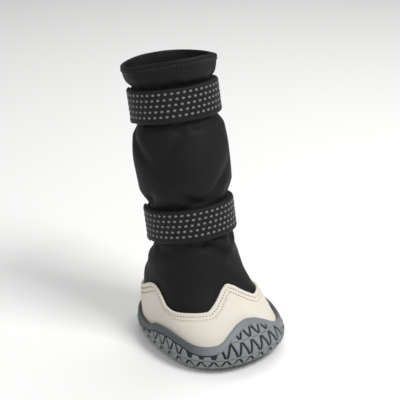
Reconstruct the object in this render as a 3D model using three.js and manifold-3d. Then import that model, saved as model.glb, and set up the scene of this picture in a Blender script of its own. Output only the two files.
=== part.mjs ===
// Winter dog boot, one of a set: rubber cup sole, sewn rand, soft foot and shaft, two straps.
// Millimetres, toe along +X, the boot's left side along +Y, up along +Z.
// The origin lies on the ground, in the middle of the plain pad under the heel.

import * as THREE from 'three';
import { mergeVertices } from 'three/addons/utils/BufferGeometryUtils.js';
import Module from 'manifold-3d';

const wasm = await Module();
wasm.setup();

// Sole and foot sizes
const SOLE_LENGTH = 90;
const SOLE_WIDTH = 70;
const SOLE_THICKNESS = 5;
const SOLE_EDGE_ROUND = 7;
const TOE_SPRING = 3.6;
const HEEL_SPRING = 3;
const FOOT_HEIGHT = 54;

// Shaft sizes: one strap is measured up from the ankle, the other down from the collar
const SHAFT_LENGTH = 99;
const SHAFT_WIDTH = 52;
const SHAFT_LEAN = 12;
const ANKLE_STRAP_AT = 13;
const CUFF_STRAP_DROP = 22;
const COLLAR_WAVE = 1.2;
const HEM_HEIGHT = 3.5;
const HEM_STEP = 0.35;

// Walls and the gap that neighbouring pieces keep
const FIT_GAP = 0.3;
const UPPER_WALL = 1.8;
const RAND_WALL = 1.2;
const CUP_WALL = 2.4;
const INSOLE_THICKNESS = 2.6;
const FLOOR_DISH = 0.6;

// Edges of the rubber wall and of the rand, above the ground
const TOE_WRAP_HEIGHT = 21.2;
const CUP_BAND = 3.2;
const CUP_BAND_STEP = 0.5;
const RAND_HEIGHT = 36.2;

// Straps: the angles, in degrees from the toe, say how far the free end laps round the band
const STRAP_WIDTH = 17.5;
const STRAP_WALL = 1.3;
const LAP_WALL = 1.5;
const LAP_START_ANGLE = 80;
const LAP_TIP_ANGLE = -132;
const LAP_SLANT_ANGLE = 10;

// Tread
const LUG_PITCH = 6.8;
const GROOVE_WIDTH = 1.2;
const GROOVE_DEPTH = 1.6;
const PAD_LENGTH = 8;
const PAD_WIDTH = 19;
const PAD_CORNER = 2;
const PAD_FROM_HEEL = 16;

// Steps round a section, and how near two faces are one
const AROUND = 48;
const MERGE_TOLERANCE = 0.001;

// Sizes that follow from the ones above
const CUP_INSIDE = FIT_GAP + RAND_WALL + FIT_GAP;
const CUP_OUTSIDE = CUP_INSIDE + CUP_WALL;
const LAST_LENGTH = SOLE_LENGTH - 2 * CUP_OUTSIDE;
const LAST_WIDTH = SOLE_WIDTH - 2 * CUP_OUTSIDE;
const FLOOR = SOLE_THICKNESS + FIT_GAP;
const COLLAR = FOOT_HEIGHT + SHAFT_LENGTH;
const ANKLE_STRAP = FOOT_HEIGHT + ANKLE_STRAP_AT;
const CUFF_STRAP = COLLAR - CUFF_STRAP_DROP;
const PAD_X = PAD_FROM_HEEL - SOLE_LENGTH / 2;

// Where the foot is widest, and where the ankle stands, as shares of the last's length
const WIDEST = 0.1;
const ANKLE = -0.15;

// Foot sections: level as a share of the foot height, middle, front and back as shares of
// the last's length, half as a share of its width, square as the exponent of the section,
// lean as a share of the shaft's lean
const FOOT_ROWS = [
  { level: 0.0, middle: WIDEST, front: 0.4, back: 0.57, half: 0.5, square: 2.25, lean: 0 },
  { level: 0.16, middle: WIDEST, front: 0.4, back: 0.592, half: 0.5, square: 2.25, lean: 0 },
  { level: 0.3, middle: 0.065, front: 0.36, back: 0.58, half: 0.476, square: 2.2, lean: 0 },
  { level: 0.42, middle: 0.025, front: 0.318, back: 0.558, half: 0.45, square: 2.15, lean: 0 },
  { level: 0.56, middle: -0.03, front: 0.274, back: 0.51, half: 0.424, square: 2.1, lean: 0.05 },
  { level: 0.7, middle: -0.08, front: 0.255, back: 0.425, half: 0.404, square: 2.05, lean: 0.25 },
  { level: 0.85, middle: -0.12, front: 0.254, back: 0.362, half: 0.388, square: 2.0, lean: 0.6 },
];

// Shaft sections: each lies a share of a step from a strap, where the step is a strap's width,
// the way to the other strap or the way to the collar; the rest are shares of the shaft's width
const SHAFT_ROWS = [
  { from: ANKLE_STRAP, step: -STRAP_WIDTH, at: 0.5, front: 0.402, back: 0.402, half: 0.404 },
  { from: ANKLE_STRAP, step: STRAP_WIDTH, at: 0.5, front: 0.402, back: 0.402, half: 0.404 },
  { from: ANKLE_STRAP, step: CUFF_STRAP - ANKLE_STRAP, at: 0.3, front: 0.484, back: 0.482, half: 0.488 },
  { from: ANKLE_STRAP, step: CUFF_STRAP - ANKLE_STRAP, at: 0.55, front: 0.498, back: 0.494, half: 0.5 },
  { from: ANKLE_STRAP, step: CUFF_STRAP - ANKLE_STRAP, at: 0.74, front: 0.474, back: 0.47, half: 0.476 },
  { from: CUFF_STRAP, step: -STRAP_WIDTH, at: 0.5, front: 0.402, back: 0.398, half: 0.402 },
  { from: CUFF_STRAP, step: STRAP_WIDTH, at: 0.5, front: 0.402, back: 0.398, half: 0.402 },
  { from: CUFF_STRAP, step: COLLAR - CUFF_STRAP, at: 0.62, front: 0.456, back: 0.45, half: 0.46 },
  { from: CUFF_STRAP, step: COLLAR - CUFF_STRAP, at: 0.82, front: 0.478, back: 0.47, half: 0.482 },
  { from: CUFF_STRAP, step: COLLAR - CUFF_STRAP, at: 1.05, front: 0.486, back: 0.478, half: 0.492 },
];

// Top edge of the rubber wall: angle from the toe, height as a share of the toe wrap
const CUP_EDGE = [
  { angle: -10, height: 0.965 },
  { angle: 0, height: 1.0 },
  { angle: 10, height: 0.965 },
  { angle: 18, height: 0.89 },
  { angle: 25, height: 0.795 },
  { angle: 31, height: 0.69 },
  { angle: 38, height: 0.625 },
  { angle: 48, height: 0.604 },
  { angle: 58, height: 0.623 },
  { angle: 71, height: 0.7 },
  { angle: 88, height: 0.764 },
  { angle: 109, height: 0.708 },
  { angle: 124, height: 0.56 },
  { angle: 145, height: 0.51 },
  { angle: 180, height: 0.505 },
  { angle: 215, height: 0.51 },
];

// Top edge of the rand: a peak over the toe, a low run along the side, a peak at the heel's side
const RAND_EDGE = [
  { angle: -9, height: 0.965 },
  { angle: 0, height: 1.0 },
  { angle: 9, height: 0.965 },
  { angle: 20, height: 0.88 },
  { angle: 30, height: 0.8 },
  { angle: 39, height: 0.745 },
  { angle: 58, height: 0.732 },
  { angle: 79, height: 0.713 },
  { angle: 90, height: 0.735 },
  { angle: 96, height: 0.829 },
  { angle: 103, height: 0.912 },
  { angle: 111, height: 0.935 },
  { angle: 119, height: 0.912 },
  { angle: 131, height: 0.83 },
  { angle: 143, height: 0.73 },
  { angle: 155, height: 0.63 },
  { angle: 180, height: 0.57 },
  { angle: 205, height: 0.63 },
];

const radians = THREE.MathUtils.degToRad;

// The foot and shaft rows as one list of sections in millimetres
const footSections = FOOT_ROWS.map((row) => ({
  at: row.level * FOOT_HEIGHT,
  x: row.middle * LAST_LENGTH,
  z: row.level * FOOT_HEIGHT,
  front: row.front * LAST_LENGTH,
  back: row.back * LAST_LENGTH,
  half: row.half * LAST_WIDTH,
  square: row.square,
  lean: row.lean * SHAFT_LEAN,
}));
const shaftSections = SHAFT_ROWS.map((row) => {
  const at = row.from + row.step * row.at;
  const along = at - FOOT_HEIGHT;
  return {
    at,
    x: ANKLE * LAST_LENGTH - along * Math.sin(radians(SHAFT_LEAN)),
    z: FOOT_HEIGHT + along * Math.cos(radians(SHAFT_LEAN)),
    front: row.front * SHAFT_WIDTH,
    back: row.back * SHAFT_WIDTH,
    half: row.half * SHAFT_WIDTH,
    square: 2,
    lean: SHAFT_LEAN,
  };
});
const SECTIONS = [...footSections, ...shaftSections];

// Slope at a row that never overshoots its neighbours
function rowSlope(rows, index, key, value) {
  const slope = (low) => (rows[low + 1][value] - rows[low][value]) / (rows[low + 1][key] - rows[low][key]);
  const before = slope(Math.max(0, index - 1));
  const after = slope(Math.min(rows.length - 2, index));
  return before * after <= 0 ? 0 : (2 * before * after) / (before + after);
}

// Smooth value of a column between the rows of a table
function readTable(rows, key, value, at) {
  const place = THREE.MathUtils.clamp(at, rows[0][key], rows.at(-1)[key]);
  const next = Math.max(1, rows.findIndex((row) => row[key] >= place));
  const [low, high] = [rows[next - 1], rows[next]];
  const span = high[key] - low[key];
  const u = (place - low[key]) / span;
  const startSlope = rowSlope(rows, next - 1, key, value) * span;
  const endSlope = rowSlope(rows, next, key, value) * span;
  const rise = high[value] - low[value];
  const curve = u * u * (3 - 2 * u) * rise;
  return low[value] + curve + u * (1 - u) * (1 - u) * startSlope - u * u * (1 - u) * endSlope;
}

// The section at a place along the boot
function sectionAt(at) {
  const section = {};
  for (const column of ['x', 'z', 'front', 'back', 'half', 'square', 'lean']) {
    section[column] = readTable(SECTIONS, 'at', column, at);
  }
  return section;
}

// Distance from the middle of a section to its edge
function reach(angle, section) {
  const lengthwise = Math.cos(angle) > 0 ? section.front : section.back;
  const along = Math.abs(Math.cos(angle) / lengthwise) ** section.square;
  const across = Math.abs(Math.sin(angle) / section.half) ** section.square;
  return (along + across) ** (-1 / section.square);
}

// A point of the upper's outer face: angle from the toe, place along the boot
function facePoint(angle, at) {
  const section = sectionAt(at);
  const length = reach(angle, section);
  const forward = length * Math.cos(angle);
  const lean = radians(section.lean);
  return new THREE.Vector3(
    section.x + forward * Math.cos(lean),
    length * Math.sin(angle),
    section.z + forward * Math.sin(lean),
  );
}

// The same face moved along its normal: outwards for what lies over it, inwards for its wall
function lastPoint(angle, at, offset) {
  const angleStep = 0.01;
  const placeStep = 0.1;
  const place = THREE.MathUtils.clamp(at, placeStep, COLLAR + COLLAR_WAVE - placeStep);
  const round = facePoint(angle + angleStep, place).sub(facePoint(angle - angleStep, place));
  const rise = facePoint(angle, place + placeStep).sub(facePoint(angle, place - placeStep));
  const normal = round.cross(rise).normalize();
  return facePoint(angle, at).addScaledVector(normal, offset);
}

// Lift of toe and heel off the ground, which fades out up the foot and begins behind the pad
const FLAT_FRONT = 0.24 * SOLE_LENGTH;
const FLAT_BACK = PAD_X - PAD_LENGTH / 2;
const SPRING_FADE = TOE_WRAP_HEIGHT;
function sprung(geometry) {
  const position = geometry.getAttribute('position');
  for (let k = 0; k < position.count; k += 1) {
    const [x, z] = [position.getX(k), position.getZ(k)];
    const toe = Math.max(0, (x - FLAT_FRONT) / (SOLE_LENGTH / 2 - FLAT_FRONT));
    const heel = Math.max(0, (FLAT_BACK - x) / (SOLE_LENGTH / 2 + FLAT_BACK));
    const fade = Math.max(0, 1 - z / SPRING_FADE);
    position.setZ(k, z + (TOE_SPRING * toe ** 1.6 + HEEL_SPRING * heel ** 1.6) * fade);
  }
  return geometry;
}

// Closed mesh from loops of points: joined end to end, capped, or drawn in to two poles
function skin(loops, { wrap = false, poles = null }) {
  const positions = [];
  const indices = [];
  const size = loops[0].length;
  for (const loop of loops) {
    loop.forEach((point) => positions.push(...point.toArray()));
  }
  const count = loops.length;
  const index = (row, column) => (row % count) * size + (column % size);
  const rows = wrap ? count : count - 1;
  const columns = poles ? size - 1 : size;
  for (let row = 0; row < rows; row += 1) {
    for (let column = 0; column < columns; column += 1) {
      const corners = [index(row, column), index(row + 1, column)];
      corners.push(index(row + 1, column + 1), index(row, column + 1));
      indices.push(corners[0], corners[1], corners[2], corners[0], corners[2], corners[3]);
    }
  }
  if (poles) {
    poles.forEach((pole, end) => {
      const tip = positions.length / 3;
      positions.push(...pole.toArray());
      const column = end === 0 ? 0 : size - 1;
      for (let row = 0; row < rows; row += 1) {
        const pair = [index(row, column), index(row + 1, column)];
        indices.push(tip, ...(end === 0 ? pair.reverse() : pair));
      }
    });
  }
  if (!wrap) {
    for (let column = 1; column < size - 1; column += 1) {
      indices.push(index(0, 0), index(0, column), index(0, column + 1));
      indices.push(index(count - 1, 0), index(count - 1, column + 1), index(count - 1, column));
    }
  }
  const geometry = new THREE.BufferGeometry();
  geometry.setAttribute('position', new THREE.Float32BufferAttribute(positions, 3));
  geometry.setIndex(indices);
  return faceOut(geometry);
}

// Signed volume tells which way the faces point
function faceOut(geometry) {
  const position = geometry.getAttribute('position');
  const corner = (k) => new THREE.Vector3().fromBufferAttribute(position, geometry.index.getX(k));
  let volume = 0;
  for (let k = 0; k < geometry.index.count; k += 3) {
    volume += corner(k).dot(corner(k + 1).cross(corner(k + 2)));
  }
  if (volume < 0) {
    const order = Array.from(geometry.index.array).reverse();
    geometry.setIndex(order);
  }
  return geometry;
}

// Solids for cutting and joining, from a closed geometry and back
function toSolid(geometry) {
  const bare = geometry.clone();
  bare.deleteAttribute('normal');
  bare.deleteAttribute('uv');
  const merged = mergeVertices(bare, 1e-4);
  const vertProperties = new Float32Array(merged.getAttribute('position').array);
  const triVerts = new Uint32Array(merged.index.array);
  return new wasm.Manifold(new wasm.Mesh({ numProp: 3, vertProperties, triVerts }));
}

function toGeometry(solid) {
  const mesh = solid.getMesh();
  const geometry = new THREE.BufferGeometry();
  geometry.setAttribute('position', new THREE.Float32BufferAttribute(mesh.vertProperties, 3));
  geometry.setIndex(Array.from(mesh.triVerts));
  return geometry;
}

function angles(count) {
  return Array.from({ length: count }, (_, step) => (step * 2 * Math.PI) / count);
}

// Height of a wavy edge at an angle, alike on both sides of the boot
function edgeHeight(rows, angle) {
  const turned = Math.abs(THREE.MathUtils.euclideanModulo(angle + Math.PI, 2 * Math.PI) - Math.PI);
  return readTable(rows, 'angle', 'height', THREE.MathUtils.radToDeg(turned));
}
const cupTop = (angle) => TOE_WRAP_HEIGHT * edgeHeight(CUP_EDGE, angle);
const randTop = (angle) => RAND_HEIGHT * edgeHeight(RAND_EDGE, angle);
const collarTop = (angle) => COLLAR + COLLAR_WAVE * Math.cos(2 * angle + 0.6);

// A point of the slightly dished floor, drawn in from the last towards the floor's middle
function floorPoint(angle, height, offset, share) {
  const rim = lastPoint(angle, height, offset);
  const middle = WIDEST * LAST_LENGTH * (1 - share);
  const dish = FLOOR_DISH * (1 - share * share);
  return new THREE.Vector3(middle + rim.x * share, rim.y * share, height - dish);
}
const floorMiddle = (height) => new THREE.Vector3(WIDEST * LAST_LENGTH, 0, height);

// Rubber cup sole: flat lugged base, rounded lower edge, textured wall, plain band along the top
const FLOOR_SHARES = [0.86, 0.5];
const CUP_SHARES = [0, 0.25, 0.5, 0.77, 1];
function outsoleBody() {
  const loops = angles(AROUND).map((angle) => {
    const top = cupTop(angle);
    const bandFoot = top - CUP_BAND;
    const wall = (height, offset) => lastPoint(angle, height, offset);
    const middle = (SOLE_EDGE_ROUND + bandFoot) / 2;
    return [
      floorPoint(angle, 0, CUP_OUTSIDE - SOLE_EDGE_ROUND, 1),
      wall(0.134 * SOLE_EDGE_ROUND, CUP_OUTSIDE - 0.5 * SOLE_EDGE_ROUND),
      wall(0.5 * SOLE_EDGE_ROUND, CUP_OUTSIDE - 0.134 * SOLE_EDGE_ROUND),
      wall(SOLE_EDGE_ROUND, CUP_OUTSIDE),
      wall(middle, CUP_OUTSIDE),
      wall(bandFoot, CUP_OUTSIDE),
      wall(bandFoot + CUP_BAND_STEP, CUP_OUTSIDE - CUP_BAND_STEP),
      wall(top - 0.7, CUP_OUTSIDE - CUP_BAND_STEP),
      wall(top, CUP_OUTSIDE - CUP_BAND_STEP - 0.6),
      ...CUP_SHARES.map((share) => wall(top + (SOLE_THICKNESS - top) * share, CUP_INSIDE)),
      ...FLOOR_SHARES.map((share) => floorPoint(angle, SOLE_THICKNESS, CUP_INSIDE, share)),
    ];
  });
  const poles = [floorMiddle(0), floorMiddle(SOLE_THICKNESS - FLOOR_DISH)];
  return skin(loops, { wrap: true, poles });
}

// Plain pad under the heel, level with the lugs
function padPrism() {
  const [x, y] = [PAD_LENGTH / 2 - PAD_CORNER, PAD_WIDTH / 2 - PAD_CORNER];
  const outline = new THREE.Shape();
  outline.absarc(PAD_X + x, y, PAD_CORNER, 0, Math.PI / 2);
  outline.absarc(PAD_X - x, y, PAD_CORNER, Math.PI / 2, Math.PI);
  outline.absarc(PAD_X - x, -y, PAD_CORNER, Math.PI, 1.5 * Math.PI);
  outline.absarc(PAD_X + x, -y, PAD_CORNER, 1.5 * Math.PI, 2 * Math.PI);
  const depth = 4 * GROOVE_DEPTH;
  const prism = new THREE.ExtrudeGeometry(outline, { depth, bevelEnabled: false, curveSegments: 3 });
  prism.translate(0, 0, -depth / 2);
  return toSolid(prism);
}

// Three sets of parallel grooves leave triangular lugs
function treadGrooves() {
  const run = 2 * SOLE_LENGTH;
  const half = Math.ceil(SOLE_LENGTH / 2 / LUG_PITCH) + 1;
  let grooves = null;
  for (const turn of [0, 60, 120]) {
    for (let line = -half; line <= half; line += 1) {
      const bar = new THREE.BoxGeometry(GROOVE_WIDTH, run, 2 * GROOVE_DEPTH);
      bar.translate(line * LUG_PITCH, 0, 0);
      bar.rotateZ(radians(turn));
      grooves = grooves ? grooves.add(toSolid(bar)) : toSolid(bar);
    }
  }
  return grooves.subtract(padPrism()).asOriginal();
}

// The sole is grooved while it is flat
function outsole() {
  const grooved = toSolid(outsoleBody()).subtract(treadGrooves());
  return toGeometry(grooved.asOriginal().simplify(MERGE_TOLERANCE));
}

// Footbed that lies in the cup, inside the upper's lower edge
function insole() {
  const offset = -UPPER_WALL - FIT_GAP;
  const top = FLOOR + INSOLE_THICKNESS;
  const loops = angles(AROUND).map((angle) => [
    ...FLOOR_SHARES.toReversed().map((share) => floorPoint(angle, FLOOR, offset, share)),
    lastPoint(angle, FLOOR, offset),
    lastPoint(angle, top, offset),
    ...FLOOR_SHARES.map((share) => floorPoint(angle, top, offset, share)),
  ]);
  const poles = [floorMiddle(FLOOR - FLOOR_DISH), floorMiddle(top - FLOOR_DISH)];
  return skin(loops, { wrap: true, poles });
}

// Soft foot and shaft: one wall, open underneath and at the hemmed collar
const UPPER_STEPS = [
  { to: FLOOR + INSOLE_THICKNESS + FIT_GAP, outer: 1, inner: 1 },
  { to: ANKLE_STRAP - STRAP_WIDTH / 2, outer: 9, inner: 6 },
  { to: ANKLE_STRAP + STRAP_WIDTH / 2, outer: 1, inner: 1 },
  { to: CUFF_STRAP - STRAP_WIDTH / 2, outer: 7, inner: 4 },
  { to: CUFF_STRAP + STRAP_WIDTH / 2, outer: 1, inner: 1 },
];
const COLLAR_STEPS = 3;

// Places up the boot, close together where the foot curves and one step under each strap
function upperLevels(hemFoot, side) {
  const levels = [FLOOR];
  for (const stretch of UPPER_STEPS) {
    const start = levels.at(-1);
    for (let step = 1; step <= stretch[side]; step += 1) {
      levels.push(start + ((stretch.to - start) * step) / stretch[side]);
    }
  }
  const start = levels.at(-1);
  for (let step = 1; step <= COLLAR_STEPS; step += 1) {
    levels.push(start + ((hemFoot - start) * step) / COLLAR_STEPS);
  }
  return levels;
}

function upper() {
  const loops = angles(AROUND).map((angle) => {
    const top = collarTop(angle);
    const hemFoot = top - HEM_HEIGHT;
    return [
      ...upperLevels(hemFoot, 'outer').map((level) => lastPoint(angle, level, 0)),
      lastPoint(angle, hemFoot + HEM_STEP, HEM_STEP),
      lastPoint(angle, top, HEM_STEP),
      lastPoint(angle, top, -UPPER_WALL),
      ...upperLevels(hemFoot, 'inner').reverse().map((level) => lastPoint(angle, level, -UPPER_WALL)),
    ];
  });
  return skin(loops, { wrap: true });
}

// Sewn rand round the foot, from the cup's floor to its scalloped edge
const RAND_SHARES = [0, 0.12, 0.24, 0.37, 0.52, 0.68, 0.85, 1];
function rand() {
  const loops = angles(AROUND).map((angle) => {
    const level = (share) => FLOOR + (randTop(angle) - FLOOR) * share;
    const face = (offset) => RAND_SHARES.map((share) => lastPoint(angle, level(share), offset));
    return [...face(FIT_GAP), ...face(FIT_GAP + RAND_WALL).reverse()];
  });
  return skin(loops, { wrap: true });
}

// Cross-section of a strap as places along the boot and offsets from the upper
function strapPoint(angle, middle, [side, offset]) {
  return lastPoint(angle, middle + (side * STRAP_WIDTH) / 2, offset);
}
function strapSection(inside, wall) {
  const outside = inside + wall;
  return [[-1, inside], [1, inside], [1, outside], [-1, outside]];
}

// Webbing band round the shaft
function strap(middle) {
  const section = strapSection(FIT_GAP, STRAP_WALL);
  const loops = angles(AROUND).map((angle) => section.map((corner) => strapPoint(angle, middle, corner)));
  return skin(loops, { wrap: true });
}

// The strap's free end, laid over the band and cut at a slant
function strapLap(middle) {
  const section = strapSection(FIT_GAP + STRAP_WALL + FIT_GAP, LAP_WALL);
  const steps = Math.ceil(((LAP_START_ANGLE - LAP_TIP_ANGLE) / 360) * AROUND);
  const loops = Array.from({ length: steps + 1 }, (_, step) =>
    section.map((corner) => {
      const tip = LAP_TIP_ANGLE - LAP_SLANT_ANGLE * corner[0] * 0.5;
      const angle = radians(LAP_START_ANGLE + ((tip - LAP_START_ANGLE) * step) / steps);
      return strapPoint(angle, middle, corner);
    }),
  );
  return skin(loops, {});
}

const FINISHES = {
  rubber: { color: 0x8f9191, roughness: 0.75, metalness: 0 },
  softshell: { color: 0x1b1b1c, roughness: 0.9, metalness: 0 },
  suede: { color: 0xe2ddd2, roughness: 0.85, metalness: 0 },
  webbing: { color: 0x1a1a1a, roughness: 0.7, metalness: 0 },
  foam: { color: 0x2a2a2b, roughness: 0.95, metalness: 0 },
};

const boot = new THREE.Group();
boot.position.x = -PAD_X;

function addPiece(name, geometry, finish) {
  const mesh = new THREE.Mesh(sprung(geometry), new THREE.MeshStandardMaterial(FINISHES[finish]));
  mesh.name = name;
  boot.add(mesh);
}

addPiece('outsole', outsole(), 'rubber');
addPiece('insole', insole(), 'foam');
addPiece('rand', rand(), 'suede');
addPiece('upper', upper(), 'softshell');
addPiece('ankle_strap', strap(ANKLE_STRAP), 'webbing');
addPiece('ankle_strap_lap', strapLap(ANKLE_STRAP), 'webbing');
addPiece('cuff_strap', strap(CUFF_STRAP), 'webbing');
addPiece('cuff_strap_lap', strapLap(CUFF_STRAP), 'webbing');

export default boot;
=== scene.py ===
"""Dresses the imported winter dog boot: soft shaft, sewn rand, lugged cup sole and webbing straps.

The shapes are worked out in millimetres with x = 0 at the middle of the sole, as the part's
source does, and placed in the row frame in metres at the end.
"""

import logging
import math
from collections.abc import Callable, Sequence
from dataclasses import dataclass
from enum import Enum

import bmesh
import bpy
import numpy as np
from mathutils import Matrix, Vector


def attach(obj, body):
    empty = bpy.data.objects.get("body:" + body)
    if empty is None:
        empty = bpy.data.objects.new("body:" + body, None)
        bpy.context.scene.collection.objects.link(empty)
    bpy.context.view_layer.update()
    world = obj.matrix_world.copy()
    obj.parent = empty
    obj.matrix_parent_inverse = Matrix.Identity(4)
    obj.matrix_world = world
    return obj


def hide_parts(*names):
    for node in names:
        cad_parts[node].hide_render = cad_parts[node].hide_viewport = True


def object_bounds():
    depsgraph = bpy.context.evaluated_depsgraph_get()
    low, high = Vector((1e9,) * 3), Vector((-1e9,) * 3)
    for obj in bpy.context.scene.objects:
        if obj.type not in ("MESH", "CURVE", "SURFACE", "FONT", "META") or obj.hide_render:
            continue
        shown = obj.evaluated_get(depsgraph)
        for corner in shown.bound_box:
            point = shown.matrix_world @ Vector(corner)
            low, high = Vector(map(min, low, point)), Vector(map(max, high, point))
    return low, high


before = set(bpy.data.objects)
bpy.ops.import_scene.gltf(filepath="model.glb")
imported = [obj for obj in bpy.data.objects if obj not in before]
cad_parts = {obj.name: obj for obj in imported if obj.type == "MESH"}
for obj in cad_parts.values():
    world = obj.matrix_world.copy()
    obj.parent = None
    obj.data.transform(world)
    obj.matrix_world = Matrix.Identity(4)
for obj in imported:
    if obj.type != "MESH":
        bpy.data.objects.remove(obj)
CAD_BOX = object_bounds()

log = logging.getLogger("dog_boot")

MM = 0.001
FULL_TURN = 2 * math.pi
QUARTER_TURN = math.pi / 2
MERGE_DISTANCE = 2e-6
# Points of a ring along which ways round the boot are measured
RING_POINTS = 721
# Small steps round and up the boot, in radians and millimetres, by which a direction is found
STEP_ROUND = 0.02
STEP_UP = 0.2
BODY = "root"


class Slot(Enum):
    """Material slots of the record."""

    RUBBER = "rubber"
    FOOTBED = "footbed"
    RAND = "rand"
    SOFTSHELL = "softshell"
    WEBBING = "webbing"


# Tables and smooth steps


def smooth_step(value: np.ndarray) -> np.ndarray:
    """Eases from 0 to 1 as the value goes from 0 to 1."""
    share = np.clip(value, 0.0, 1.0)
    return share * share * (3 - 2 * share)


def row_slopes(keys: np.ndarray, values: np.ndarray) -> np.ndarray:
    """Slopes at the rows of a table that never overshoot.

    Args:
        keys: rising places of the rows.
        values: the column's values.

    Returns:
        One slope for each row.
    """
    secants = np.diff(values) / np.diff(keys)
    before = np.concatenate([secants[:1], secants])
    after = np.concatenate([secants, secants[-1:]])
    product = before * after
    total = np.where(product > 0, before + after, 1.0)
    return np.where(product > 0, 2 * product / total, 0.0)


def read_table(keys: np.ndarray, values: np.ndarray, at: np.ndarray) -> np.ndarray:
    """Reads a column smoothly between its rows.

    Args:
        keys: rising places of the rows.
        values: the column's values.
        at: places to read at, held to the table.

    Returns:
        The column's value at each place.
    """
    place = np.clip(at, keys[0], keys[-1])
    high = np.clip(np.searchsorted(keys, place, side="left"), 1, len(keys) - 1)
    low = high - 1
    slopes = row_slopes(keys, values)
    span = keys[high] - keys[low]
    u = (place - keys[low]) / span
    rise = values[high] - values[low]
    curve = u * u * (3 - 2 * u) * rise
    start = u * (1 - u) * (1 - u) * slopes[low] * span
    end = u * u * (1 - u) * slopes[high] * span
    return values[low] + curve + start - end


def way_along(points: np.ndarray) -> np.ndarray:
    """Distance along a line of points from the first to each."""
    return np.concatenate([[0], np.cumsum(np.linalg.norm(np.diff(points, axis=0), axis=1))])


@dataclass(frozen=True)
class Wave:
    """A wave round the boot: rise, count round it, radians for each millimetre upwards, and start."""

    rise: float
    count: int
    climb: float = 0.0
    start: float = 0.0


def ripple(waves: Sequence[Wave], angle: np.ndarray, at: np.ndarray | float) -> np.ndarray:
    """Rise of several waves together at given angles and places along the boot."""
    return sum(wave.rise * np.sin(wave.count * angle + wave.climb * at + wave.start) for wave in waves)


# The form that every piece is laid over


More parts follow.
